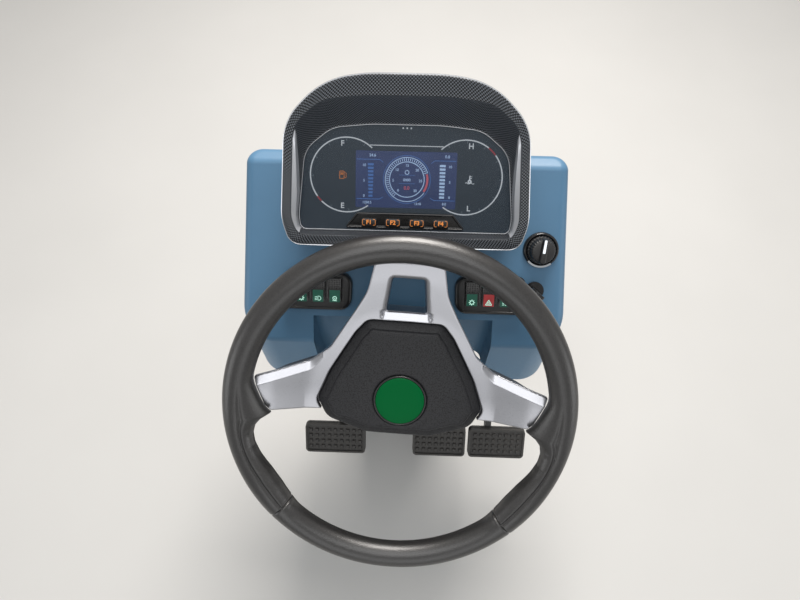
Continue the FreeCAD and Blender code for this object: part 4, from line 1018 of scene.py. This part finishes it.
def inner_rings(lip, mouth, lens):
    """Over the lip, down the flare to the cover's ledge, and back to the foot round the housing."""
    top, level = lip_level(lip[:, 1]), lip_level(mouth[:, 1])
    rings = [(lip + (mouth - lip) * share, top + (level - top) * share) for share in (0.25, 0.5, 0.75, 0.92)]
    rings.append((mouth, level - 0.4))
    depth = level - (LENS_TOP + 0.2)
    for share in np.linspace(0.06, 1, 20):
        low = level - LIP_DROP * (share < 1) - depth * share
        rings.append((mouth + (lens - mouth) * share ** FLARE, low))
    ledge = inset(lens, LEDGE_IN)
    hollow = (lens - (0, 194)) * (0.9, 0.7) + (0, 198)
    rings += [(ledge, LENS_TOP + 0.1 + 0 * level), (ledge, SEAT_N - 0.6 + 0 * level),
              (hollow, SEAT_N - 0.8 + 0 * level), (hollow, head_level(hollow[:, 1]) - 2.0)]
    return rings


foot, lip, mouth, lens = (matched(half) for half in (HOOD_FOOT, HOOD_LIP, HOOD_MOUTH, LENS_OUTLINE))
rings = outer_rings(foot, lip) + inner_rings(lip, mouth, lens)
hood_points = np.stack([on_deck(*loop.T, level) for loop, level in rings])
print("hood:", hood_points.shape[0], "rings of", hood_points.shape[1], "points")

# %% [markdown]
# The weave counts strands. Across the hood it adds up the steps from ring to ring, away from the lip to
# both sides, and round the hood it adds up the steps along the lip, starting at the middle of its foot.

# %% Instrument hood, its weave and its edge
STRAND = 1.75
steps = np.linalg.norm(np.diff(hood_points, axis=0, prepend=hood_points[:1]), axis=-1)
across = np.cumsum(steps, axis=0) / MM
across -= across[len(outer_rings(foot, lip)) - 1]
around = np.concatenate([[0], np.cumsum(np.linalg.norm(np.diff(lip, axis=0), axis=1))])
cloth = np.stack(np.broadcast_arrays(around[None], across), -1) / STRAND
piece("hood_woven", grid(hood_points, round_rows=True, round_columns=True), hood_weave, "binnacle_hood",
      replaces=True, smooth=60, uv=cloth.reshape(-1, 2))


def bead(loop, level, radius, steps=8):
    """A thin round edge: at each point of the loop, a circle in the plane of its outward way and n."""
    out = -(inset(loop, 1.0) - loop)
    t = np.linspace(0, 2 * np.pi, steps, endpoint=False)[:, None]
    x, a = (loop[:, k] + radius * np.cos(t) * out[:, k] for k in (0, 1))
    return grid(on_deck(x, a, level + radius * np.sin(t)), round_rows=True, round_columns=True)


# A bright silver bead round the lip: a painted highlight on the hood's edge.
piece("hood_edge_highlight", bead(inset(lip, 0.1), lip_level(lip[:, 1]) - 1.6, 0.75), painted_edge_highlight,
      "binnacle_hood")
# A thin light grey bead round the cover's ledge: a painted highlight on its edge.
cover_edge = inset(lens, LEDGE_IN - 0.3)
piece("cover_edge_highlight", bead(cover_edge, np.full(len(cover_edge), LENS_TOP + 0.15), 0.35), painted_highlight_grey,
      "binnacle_hood")
HIGHLIGHT_STRIP_POINTS = (60, 116)
HIGHLIGHT_STRIP_SHARES = (0.03, 0.30)


def highlight_strip(first, last, from_share, to_share):
    """A light grey strip on the side of the mouth, a painted reflection: a wedge between the flare's wall and a
    face that leans towards the driver. Both go in by the same share of the mouth; the face goes down less."""
    outer, way = mouth[first:last], (lens - mouth)[first:last]
    level = lip_level(outer[:, 1]) - LIP_DROP
    depth = lip_level(outer[:, 1]) - (LENS_TOP + 0.2)
    taper = np.clip(np.linspace(0, 1, last - first) * 2, 0, 1)[::-1] ** 0.5
    face, wall = [], []
    for share in np.linspace(0, 1, 8):
        inwards = 0.04 + 0.9 * share * taper
        loop = outer + way * inwards[:, None]
        face.append(on_deck(*loop.T, level - depth * (from_share + (to_share - from_share) * share * taper)))
        wall.append(on_deck(*loop.T, level - depth * inwards ** (1 / FLARE) - 0.2))
    return thickened(np.vstack(face), np.vstack(wall), quads(len(face), last - first))


# The grey strips on both sides of the mouth are a painted reflection.
right = highlight_strip(*HIGHLIGHT_STRIP_POINTS, *HIGHLIGHT_STRIP_SHARES)
left = (right[0] * (-1, 1, 1), [face[::-1] for face in right[1]])
piece("mouth_highlight_strips", together([right, left]), painted_highlight_grey, "binnacle_hood")

# %% [markdown]
# Under the clear cover lies a dark dial face. Its arcs, letters and the display are backlit, so they
# are thin raised prints that glow a little. A curved line is a ribbon: a path, moved half its width to
# each side, and given a thickness. Letters start as text and become a mesh before they are placed.

# %% Ribbons, bars and letters on the dial
PRINT_LOW, PRINT_HIGH = -63.4, -62.7
TICK_WIDTH = 0.7


def ribbon(path, width, low, high, closed=False):
    """A flat strip along a path: each point goes half the width to the left and to the right."""
    path = np.asarray(path, float)
    if closed:
        along = unit(np.roll(path, -1, 0) - np.roll(path, 1, 0))
    else:
        along = unit(np.gradient(path, axis=0))
    left = np.stack([-along[:, 1], along[:, 0]], 1) * width / 2
    rows = [(path + left, low), (path + left, high), (path - left, high), (path - left, low)]
    points = np.stack([on_deck(*side.T, np.full(len(path), level)) for side, level in rows], 1)
    count = len(path)
    faces = quads(count, 4, closed, True).tolist()
    if not closed:
        faces += [[0, 1, 2, 3], [4 * count - 1, 4 * count - 2, 4 * count - 3, 4 * count - 4]]
    return points.reshape(-1, 3), faces


def arc(x, a, radius, first, last, count=64):
    """Points on a circle from one angle to another: centre plus radius times cosine and sine."""
    t = np.radians(np.linspace(first, last, count))
    return np.stack([x + radius * np.cos(t), a + radius * np.sin(t)], 1)


def circle(x, a, radius, count, first=0):
    """Points all round a circle, from an angle on, without the first one again at the end."""
    return arc(x, a, radius, first, first + 360, count + 1)[:-1]


def bars(x, a, width, length, turn, low, high):
    """Many upright blocks at once: each box's corners, turned by its angle, about its own middle."""
    given = [np.asarray(value, float) for value in (x, a, width, length, turn)]
    x, a, width, length, turn = np.broadcast_arrays(*given)
    corner = np.array([(-1, -1), (1, -1), (1, 1), (-1, 1)]) / 2
    u, v = corner[None, :, 0] * width[:, None], corner[None, :, 1] * length[:, None]
    c, s = np.cos(np.radians(turn))[:, None], np.sin(np.radians(turn))[:, None]
    px, pa = x[:, None] + u * c - v * s, a[:, None] + u * s + v * c
    points = np.stack([on_deck(px, pa, np.full_like(px, level)) for level in (low, high)], 1)
    box_faces = np.array([(3, 2, 1, 0), (4, 5, 6, 7), (0, 1, 5, 4), (1, 2, 6, 5), (2, 3, 7, 6), (3, 0, 4, 7)])
    numbers = box_faces[None] + (np.arange(len(px)) * 8)[:, None, None]
    return points.reshape(-1, 3), numbers.reshape(-1, 4).tolist()


def ticks(x, a, radius, turns, length, low, high):
    """Marks along a circle about x, a: each is turned to point at the middle."""
    x, a = x + radius * np.cos(np.radians(turns)), a + radius * np.sin(np.radians(turns))
    return bars(x, a, TICK_WIDTH, length, turns - 90, low, high)


def written(text, size, x, a, low, high, bold=0.0):
    """Text made a mesh: letters in their own plane, then carried to the deck, with their middle at x, a."""
    curve = bpy.data.curves.new("legend", "FONT")
    curve.body, curve.size, curve.offset = text, size, bold
    curve.align_x, curve.align_y, curve.extrude, curve.resolution_u = "CENTER", "CENTER", 0.5, 4
    holder = bpy.data.objects.new("legend", curve)
    mesh = bpy.data.meshes.new_from_object(holder)
    flat = np.empty(len(mesh.vertices) * 3)
    mesh.vertices.foreach_get("co", flat)
    flat = flat.reshape(-1, 3)
    faces = [list(face.vertices) for face in mesh.polygons]
    level = np.where(flat[:, 2] > 0, high, low)
    bpy.data.objects.remove(holder)
    bpy.data.curves.remove(curve)
    bpy.data.meshes.remove(mesh)
    return merged(on_deck(flat[:, 0] + x, flat[:, 1] + a, level), faces)


print("print helpers ready")

# %% [markdown]
# Two round scales share the dial: fuel on the left, coolant heat on the right. A scale is a few arcs
# about one centre, with a red stretch where the driver should take care.

# %% Dial face, arcs and signs
GAUGE_X, GAUGE_A, GAUGE_R = 67.0, 256.5, 41.4
ARC_WIDTH, RED_WIDTH = 1.3, 1.5
skin("cluster_face", dial_grey)
skin("cluster_housing", cluster_black)
skin("cluster_lens", lens_glass)


def printed(path, width, closed=False):
    """A white, amber or red line on the dial face."""
    return ribbon(path, width, PRINT_LOW, PRINT_HIGH, closed)


def block(x, a, width, length):
    """Upright blocks on the dial face."""
    return bars(x, a, width, length, 0, PRINT_LOW, PRINT_HIGH)


def scale(side, first, last, count, width=ARC_WIDTH):
    """A stretch of the round scale on one side."""
    return printed(arc(side * GAUGE_X, GAUGE_A, GAUGE_R, first, last, count), width)


dial_lines = [scale(-1, 47, 216, 90), scale(-1, 226, 306, 50), scale(1, 54, 133, 50), scale(1, -126, 38, 90),
              printed([(-41, 290), (41, 290)], 0.9)]
dial_lines += [written(letter, 8.5, x, a, PRINT_LOW, PRINT_HIGH, 0.15)
               for letter, x, a in (("F", -72, 291), ("E", -72, 222), ("H", 72, 291), ("L", 72, 222))]
dial_lines.append(block(np.array([-4.5, 0, 4.5]), 309, 1.6, 1.6))
piece("dial_prints", together(dial_lines), print_white, "gauge_rings", replaces=True)
TICK_TURNS = np.arange(60, 306, 30.5)
dial_ticks = [ticks(side * GAUGE_X, GAUGE_A, GAUGE_R - 2.6, turns, 2.6, PRINT_LOW, PRINT_HIGH)
              for side, turns in ((-1, TICK_TURNS), (1, 180 - TICK_TURNS))]
piece("dial_ticks", together(dial_ticks), print_grey, "gauge_rings")
dial_red = [scale(-1, 216.5, 225.5, 10, RED_WIDTH), scale(1, 38.5, 53.5, 14, RED_WIDTH)]
piece("dial_red", together(dial_red), print_red, "gauge_rings")


def pump_sign(x, a):
    """A fuel pump: a framed body with a window, and a hose at its side."""
    body = rounded([(-3.2, -4, 0.5), (1.8, -4, 0.5), (1.8, 4.2, 0.9), (-3.2, 4.2, 0.9)], 0.5) + (x, a)
    hose = np.array([(2.4, -2.6), (3.6, -3.2), (4.2, -2.0), (4.2, 1.8), (3.0, 3.2)]) + (x, a)
    return together([printed(body, 0.9, True), printed(hose, 0.7), block([x - 0.7], a + 1.4, 3.2, 2.6)])


def heat_sign(x, a):
    """A thermometer that stands in two waves."""
    across = np.linspace(-1, 1, 30)
    wave = np.stack([5 * across, -3.4 + 0.7 * np.sin(2 * np.pi * (across + 1))], 1) + (x, a)
    bulb = circle(x, a - 1.6, 1.5, 17)
    return together([printed(wave, 0.7), printed(bulb, 1.6, True), block([x], a + 2.2, 1.2, 6.0),
                     block([x + 1.6, x + 1.6], [a + 2.0, a + 4.0], 2.0, 0.6)])


piece("fuel_sign", pump_sign(-72, 256.5), print_amber, "gauge_rings")
piece("coolant_sign", heat_sign(72, 254), print_white, "gauge_rings")

# %% [markdown]
# The display is a navy panel. A round counter with ticks and plain numbers stands in its middle, and
# columns of bars stand left and right of it. A ring of ticks is one formula over all their angles.

# %% Display
COUNTER = (1.0, 253.0)
GROUND_TOP, SCREEN_LOW, SCREEN_HIGH = -62.85, -62.9, -62.65
NUMBER_R = 15.6
ground = rectangle((-57, 221), (57, 284), 1.5, 1.0)
piece("display_ground", lifted(ground, [(0, -63.5), (0, GROUND_TOP)], on_deck), screen_navy, "lcd_screen",
      replaces=True)


def lit(path, width, closed=False):
    """A glowing line on the display."""
    return ribbon(path, width, SCREEN_LOW, SCREEN_HIGH, closed)


def shown(words, size, x, a):
    """Words or numbers on the display."""
    return written(words, size, x, a, SCREEN_LOW, SCREEN_HIGH, 0.06)


def column(x, widths):
    """A column of ten bars, one for each width."""
    return bars(np.full(10, x), np.linspace(234, 269, 10), widths, 2.4, 0, SCREEN_LOW, SCREEN_HIGH)


# text, size, x, a
SCREEN_TEXTS = [("0000", 4.2, 1, 252.5), ("12:45", 3.6, 14, 226.0), ("24.6", 4.4, -38, 279.0),
                ("0.0", 4.4, 46, 279.0), ("1250.5", 3.8, -44, 226.5), ("8.0", 3.8, 44, 226.5)]
SCREEN_TEXTS += [(label, 4.0, x, a) for x in (-47.5, 49.5)
                 for label, a in (("0", 234), ("5", 251), ("10", 268))]
SCREEN_TEXTS += [(str(5 * k), 4.0, COUNTER[0] + NUMBER_R * math.cos(t), COUNTER[1] + NUMBER_R * math.sin(t))
                 for k, t in enumerate(np.radians(np.linspace(232, -52, 7)))]
ice = [shown(*row) for row in SCREEN_TEXTS]
ice += [lit(arc(*COUNTER, 24.5, 18, 325, 110), 0.8), lit(circle(*COUNTER, 19.6, 120), 0.9, True),
        lit(circle(COUNTER[0], COUNTER[1] + 8, 2.4, 6, 30), 0.8, True),
        ticks(*COUNTER, 22.2, np.linspace(232, 20, 36), 3.0, SCREEN_LOW, SCREEN_HIGH),
        column(41.0, np.linspace(5.6, 6.6, 10))]
piece("display_white", together(ice), screen_ice, "lcd_screen")
blue = [column(-40.0, np.linspace(4.6, 6.6, 10)), lit(circle(*COUNTER, 26.6, 120), 0.6, True),
        lit([(-8, 258.0), (10, 258.0)], 0.4), lit([(-8, 248.6), (10, 248.6)], 0.4)]
blue += [lit([(start, level), (bend, level), (end, inner)], 0.7)
         for start, bend, end in ((-56, -30, -26), (56, 32, 28))
         for level, inner in ((274.5, 271.5), (230.5, 233.0))]
piece("display_blue", together(blue), screen_blue, "lcd_screen")
red = [lit(arc(*COUNTER, 23.2, -34, 16, 30), 2.2), shown("0.0", 5.4, 1, 243.5)]
piece("display_red", together(red), screen_red, "lcd_screen")

# %% [markdown]
# Below the display four keys stand in a dark bar whose ends slope. A key has a soft edge, an amber
# frame and an amber letter with its number.

# %% Function keys
KEY_X = (np.arange(4) - 1.5) * 27.3
KEY_A, KEY_TOP = 204.5, -56.8
bar_loop = rounded([(-69.2, 197.7, 2), (69.2, 197.7, 2), (54.8, 215.3, 4), (-54.8, 215.3, 4)], 0.8)
bar_edge = [(0, -63.2), (0, -58.6), (0.25, -58.2), (0.7, -58.02), (1.2, -58.0), (2.4, -58.9), (2.9, -59.0)]
piece("key_bar", lifted(bar_loop, bar_edge, on_deck), switch_gloss, "function_key_bar", replaces=True)
key_loop = rectangle((-9, -4.4), (9, 4.4), 2, 0.5)
key_edge = [(0, -59.0), (0, -57.6), (0.2, -57.1), (0.6, -56.85), (1.0, KEY_TOP)]
piece("keys_f", together([lifted(key_loop + (x, KEY_A), key_edge, on_deck) for x in KEY_X]), switch_gloss,
      "function_keys", replaces=True)
key_prints = [written("F%d" % (k + 1), 6.6, x, KEY_A, KEY_TOP - 0.1, KEY_TOP + 0.08, 0.22)
              for k, x in enumerate(KEY_X)]


def bracket(x, side):
    """Half of a key's frame: up one side, with a short turn at both ends."""
    corners = np.array([(4.6, 3.3), (6.4, 3.3), (7.3, 2.4), (7.3, -2.4), (6.4, -3.3), (4.6, -3.3)])
    path = corners * (side, 1) + (x, KEY_A)
    return ribbon(path, 0.45, KEY_TOP - 0.1, KEY_TOP + 0.06)


key_prints += [bracket(x, side) for x in KEY_X for side in (-1, 1)]
piece("key_legends", together(key_prints), print_amber, "function_keys")

# %% [markdown]
# Left and right of the column are two switch pods. A pod is a low block with a broad cheek towards the
# column and a frame round its rockers. A rocker's top is a height over its width and length: pressed
# in at its lower end, raised at its upper end, and round at the sides.

# %% Switch pods
POD_LOW, POD_HIGH, POD_NEAR, POD_FAR, POD_TOP = 87.0, 135.0, 64.0, 152.0, -103.0
ROCKER_X = 86.0 + 21.0 * np.arange(3)
ROCKER_A, ROCKER_WIDTH, ROCKER_LENGTH = 111.0, 19.0, 37.4
POD_ROUND, ROCKER_ROUND = 5.0, 1.2
PRESSED_IN, RAISED_UP = 1.9, 2.2


def pod(side):
    """Outline with a wide round end at the column, lifted by a soft shoulder to a flat top. On the left
    the outline is mirrored and runs the other way, so what goes inwards changes its sign."""
    loop = rounded([(POD_NEAR + 2, POD_LOW, 15), (POD_FAR, POD_LOW, 7), (POD_FAR, POD_HIGH, 7),
                    (POD_NEAR, POD_HIGH, 15)], 0.8)
    frame_loop = rectangle((74.6, 90.6), (149.2, 131.6), 2.5, 0.8)
    shell = [(0, DECK_N - POD_TOP - 0.5), (0, -POD_ROUND)]
    shell += [(POD_ROUND * (1 - math.cos(t)), -POD_ROUND * (1 - math.sin(t)))
              for t in np.linspace(0.2, np.pi / 2, 7)]
    rail = [(0, -0.4), (0, 0.6), (0.3, 0.9), (0.9, 0.9), (1.2, 0.6), (1.3, -0.4)]
    return [lifted(part * (side, 1), over(POD_TOP, [(by * side, height) for by, height in edge]), on_deck)
            for part, edge in ((loop, shell), (frame_loop, rail))]


def rocker_top(x, a):
    """Height of a rocker over its pod: a smooth bend from the pressed end to the raised one, less the
    round at its sides and ends, which is a quarter circle in the distance to the nearest side."""
    share = a / (ROCKER_LENGTH / 2)
    bend = 0.2 + np.where(share < 0, -PRESSED_IN * share ** 2, RAISED_UP * np.clip(share, 0, 1) ** 1.6)
    side = np.minimum(ROCKER_WIDTH / 2 - np.abs(x), ROCKER_LENGTH / 2 - np.abs(a))
    return POD_TOP + 0.6 + bend - rolled(side, ROCKER_ROUND)


def rocker(middle):
    """The top as a grid that crowds to the edges, closed by its walls and its underside."""
    u = (eased(15) - 0.5) * ROCKER_WIDTH
    v = (eased(25) - 0.5) * ROCKER_LENGTH
    x, a = np.meshgrid(u, v)
    top = on_deck(x + middle, a + ROCKER_A, rocker_top(x, a))
    low = on_deck(x + middle, a + ROCKER_A, np.full_like(x, DECK_N - 0.5))
    return thickened(top.reshape(-1, 3), low.reshape(-1, 3), quads(len(v), len(u)))


def dome_dots(middle):
    """Small domes in rows on the rocker's upper half."""
    x, a = np.meshgrid(np.linspace(-6, 6, 5), np.linspace(5.2, 15.6, 5))
    x, a = x.ravel(), a.ravel()
    dome = revolved([(0.95, -0.3), (0.95, 0.05), (0.75, 0.32), (0.3, 0.45)], on_deck, steps=8)
    places = on_deck(x + middle, a + ROCKER_A, rocker_top(x, a)) - on_deck(0.0, 0.0, 0.0)
    return together([(dome[0] + place, dome[1]) for place in places])


def window_plate(middle):
    """The lit window on the lower half, a thin plate that follows the rocker's bend."""
    x, a = np.meshgrid(np.linspace(-6.6, 6.6, 9), np.linspace(-16.4, 2.6, 17))
    top, low = (on_deck(x + middle, a + ROCKER_A, rocker_top(x, a) + lift) for lift in (0.12, -0.3))
    return thickened(top.reshape(-1, 3), low.reshape(-1, 3), quads(*x.shape))


for side, word in ((-1, "left"), (1, "right")):
    node = "rockers_" + word
    places = side * ROCKER_X
    piece("switch_pod_" + word, together(pod(side)), switch_black, "switch_bezel_" + word, replaces=True)
    piece("rocker_caps_" + word, together([rocker(x) for x in places]), switch_gloss, node, replaces=True)
    piece("rocker_dots_" + word, together([dome_dots(x) for x in places]), switch_gloss, node)

piece("windows_left", together([window_plate(-x) for x in ROCKER_X]), lit_green, "rockers_left")
piece("window_right_green", together([window_plate(x) for x in ROCKER_X[::2]]), lit_green, "rockers_right")
piece("window_right_red", window_plate(ROCKER_X[1]), lit_red, "rockers_right")

# %% [markdown]
# A sign is drawn flat, in millimetres about the middle of its window, and then bent over the rocker.

# %% Signs on the rockers
SIGN_SCALE = 0.78


def sign(middle, shapes):
    """Thin strips bent over the rocker's lower half, given as paths about the window's middle."""
    parts = []
    for path, width, closed in shapes:
        path = np.asarray(path, float) * SIGN_SCALE
        points, faces = ribbon(path + (middle, ROCKER_A - 8.2), width * SIGN_SCALE, 0.0, 1.0, closed)
        flat = (points - HUB) / MM
        x, a, high = flat @ ACROSS, flat @ UP_DECK, flat @ UP_COLUMN
        lift = rocker_top(x - middle, a - ROCKER_A) + np.where(high > 0.5, 0.3, 0.0)
        parts.append((on_deck(x, a, lift), faces))
    return together(parts)


def gear_sign():
    """A ring with eight short teeth."""
    feet, tips = circle(0, 0, 3.2, 8), circle(0, 0, 5.0, 8)
    teeth = [(np.stack(ends), 1.1, False) for ends in zip(feet, tips)]
    return [(circle(0, 0, 2.9, 32), 1.2, True)] + teeth


def lamp_sign():
    """A lamp: a half round glass and three beams."""
    glass = np.vstack([arc(1.2, 0, 3.4, 90, -90, 16), [(-0.2, -3.4), (-0.2, 3.4)]])
    beams = [([(-1.6, y), (-5.2, y - 0.8)], 0.9, False) for y in (2.6, 0.2, -2.2)]
    return [(glass, 0.9, True)] + beams


def beacon_sign():
    """A round beacon with a bar in it, over its foot."""
    return [(circle(0, 0.6, 3.0, 24), 1.1, True), ([(-3.6, -3.6), (3.6, -3.6)], 1.0, False),
            ([(-1.3, 0.6), (1.3, 0.6)], 1.1, False)]


def hazard_sign():
    """Two triangles, one inside the other."""
    outer = spaced(np.array([(-5.0, -3.6), (5.0, -3.6), (0, 4.8)], float), 36, True)
    inner = spaced(np.array([(-2.0, -1.9), (2.0, -1.9), (0, 1.4)], float), 18, True)
    return [(outer, 1.1, True), (inner, 0.8, True)]


for name, side, drawings in (("left", -1, (beacon_sign, lamp_sign, gear_sign)),
                             ("right", 1, (gear_sign, hazard_sign, lamp_sign))):
    signs = [sign(side * x, drawing()) for x, drawing in zip(ROCKER_X, drawings)]
    piece("signs_" + name, together(signs), icon_white, "rockers_" + name)

# %% [markdown]
# The light switch is a fluted knob with a grip across it and a white pointer that glows, also a painted highlight
# along the grip. It stands in a glossy ring with a chrome crescent on the driver's side, a painted reflection. The
# key has a dark plastic head and sits in a collar.

# %% Light switch and key switch
KNOB = (169.0, 170.0)
KNOB_GRIP_TURN = math.radians(-6)
# radius, and height over the deck
RING_EDGE = [(18.1, -1.9), (22.0, -1.9), (22.0, 3.0), (21.4, 4.6), (20.4, 5.6), (19.4, 5.6), (18.5, 4.8),
             (18.1, 4.0)]
KNOB_EDGE = [(17.6, -1.9), (17.6, 7.2), (17.0, 8.0), (16.2, 8.2), (15.9, 9.0), (15.2, 16.0), (14.6, 17.6),
             (13.4, 18.4), (11, 18.7), (0.8, 18.9)]
# distance inwards, and height over the deck
GRIP_EDGE = [(-0.8, 17), (-0.2, 19.5), (0, 22), (0.3, 23.8), (0.9, 24.6), (1.8, 24.9)]
POINTER_EDGE = [(0, 24.2), (0, 25.0), (0.25, 25.25)]
ring = revolved(over(DECK_N, RING_EDGE), on_deck, KNOB, 120, hollow=True)
piece("light_switch_bezel", ring, switch_gloss, "light_switch_ring", replaces=True)
# A chrome arc on the ring's lower side only: a painted reflection.
crescent = arc(*KNOB, 20.6, -138, -52, 40)
piece("light_switch_highlight_crescent", ribbon(crescent, 2.2, DECK_N + 4.5, DECK_N + 5.9), chrome, "light_switch_ring")
knob_body = revolved(over(DECK_N, KNOB_EDGE), on_deck, KNOB, 168, flutes=28, flute_depth=0.7)


def on_grip(corners, edge, step):
    """A solid on the knob: its outline turns with the grip, its edge starts from the deck."""
    loop = rounded(corners, step)
    c, s = math.cos(KNOB_GRIP_TURN), math.sin(KNOB_GRIP_TURN)
    turned = np.stack([loop[:, 0] * c - loop[:, 1] * s, loop[:, 0] * s + loop[:, 1] * c], 1)
    return lifted(turned + KNOB, over(DECK_N, edge), on_deck)


grip = on_grip([(-4, -14.8, 3), (4, -14.8, 3), (3.4, 15.6, 2.6), (-3.4, 15.6, 2.6)], GRIP_EDGE, 0.6)
piece("light_switch_cap", together([knob_body, grip]), switch_black, "light_switch_knob", replaces=True)
# The white pointer glows in the dial's print colour, though it is no lamp, and stands for a painted highlight
# along the grip.
pointer = on_grip([(-2.2, -1.4, 0.5), (1.0, -1.4, 0.5), (0.8, 14.6, 0.7), (-2.1, 14.6, 0.7)],
                  POINTER_EDGE, 0.4)
piece("light_switch_pointer_highlight", pointer, print_white, "light_switch_knob")
skin("key_switch", switch_gloss)
skin("ignition_key", switch_black)

# %% [markdown]
# The pedals hang from the beam inside the head. Their arms are bent steel under black paint, and each
# pad is a rubber cover with a border and rows of studs.

# %% Pedals
for name in ("clutch", "brake_left", "brake_right"):
    skin(name + "_arm", pedal_paint)
    skin(name + "_pad", tread_rubber, smooth=25)

# %% [markdown]
# The photograph's camera looks down from the driver's head, through a wide lens. The console stands on
# a pale floor, which casts some light back up.

# %% Camera and floor
camera = bpy.data.objects.new("camera", bpy.data.cameras.new("camera"))
camera.location = (0.008, -0.4795, 1.2535)
camera.rotation_euler = (math.radians(28.6), 0, math.radians(1.9))
camera.data.lens = 27.0
camera.data.sensor_width = 36.0
bpy.context.scene.collection.objects.link(camera)
bpy.context.scene.camera = camera
FLOOR_HALF, FLOOR_STEPS, FLOOR_DROP = 3.0, 41, 0.0005


def floor():
    """A square of pale paper, half a millimetre under the console so that the two never coincide."""
    edge = np.linspace(-FLOOR_HALF, FLOOR_HALF, FLOOR_STEPS)
    x, y = np.meshgrid(edge, edge)
    points = np.stack([x, y, np.full_like(x, -FLOOR_DROP)], -1).reshape(-1, 3)
    faces = quads(FLOOR_STEPS, FLOOR_STEPS)
    mesh = bpy.data.meshes.new("floor")
    mesh.from_pydata(points, [], faces.tolist())
    obj = bpy.data.objects.new("floor", mesh)
    bpy.context.scene.collection.objects.link(obj)
    material, tree, shader, place = start("floor_paper", Roughness=0.85)
    noise = add(tree, "ShaderNodeTexNoise", Vector=place, Scale=3.0, Detail=3.0)
    tree.links.new(blend(tree, noise.outputs["Fac"], srgb(206, 206, 204), srgb(214, 214, 212)),
                   shader.inputs["Base Color"])
    mesh.materials.append(material)


floor()
print("camera at", tuple(round(x, 3) for x in camera.location), "lens", camera.data.lens)

# %% [markdown]
# Soft lamps light the set: a warm one in front that the rim mirrors, one above, one behind and a weak
# one at each side. The world is dim where it only lights, and brighter where it is seen or mirrored.

# %% Lamps and world


def lamp(name, place, target, size, power, colour):
    """A square soft lamp that faces its target."""
    light = bpy.data.lights.new(name, "AREA")
    light.size, light.energy, light.color = size, power, colour
    obj = bpy.data.objects.new(name, light)
    way = np.array(target, float) - place
    obj.rotation_euler = Vector(way).to_track_quat("-Z", "Y").to_euler()
    obj.location = place
    bpy.context.scene.collection.objects.link(obj)


WARM, WHITE = (1.0, 0.95, 0.9), (1, 1, 1)
# name, place, target, size in metres, power in watts, colour
LAMPS = [
    ("front_light", (0.2, 1.2, 2.45), (0, -0.2, 0.6), 1.1, 74, WARM),
    ("top_light", (0.0, -0.9, 2.7), (0, -0.2, 0.5), 1.6, 18, WHITE),
    ("rear_light", (0.0, -2.1, 0.9), (0, -0.2, 0.6), 1.2, 4.6, WHITE),
    ("left_light", (-1.9, -0.9, 0.8), (0, -0.2, 0.55), 1.0, 5, WHITE),
    ("right_light", (1.9, -0.9, 0.8), (0, -0.2, 0.55), 1.0, 5, WHITE)]
for row in LAMPS:
    lamp(*row)

WORLD_LIGHT, WORLD_SEEN = 0.22, 0.28
world = bpy.data.worlds.new("studio")
world.use_nodes = True
tree = world.node_tree
background = tree.nodes["Background"]
ray = tree.nodes.new("ShaderNodeLightPath").outputs
mirrored_or_seen = maths(tree, "ADD", ray["Is Camera Ray"], ray["Is Glossy Ray"])
seen = maths(tree, "MINIMUM", maths(tree, "ADD", mirrored_or_seen, ray["Is Transmission Ray"]), 1.0)
tree.links.new(rising(tree, WORLD_LIGHT, WORLD_SEEN, seen), background.inputs["Strength"])
background.inputs["Color"].default_value = (1, 1, 1, 1)
bpy.context.scene.world = world
bpy.context.scene.view_settings.view_transform = "Standard"
print("lamps:", len(bpy.data.lights))
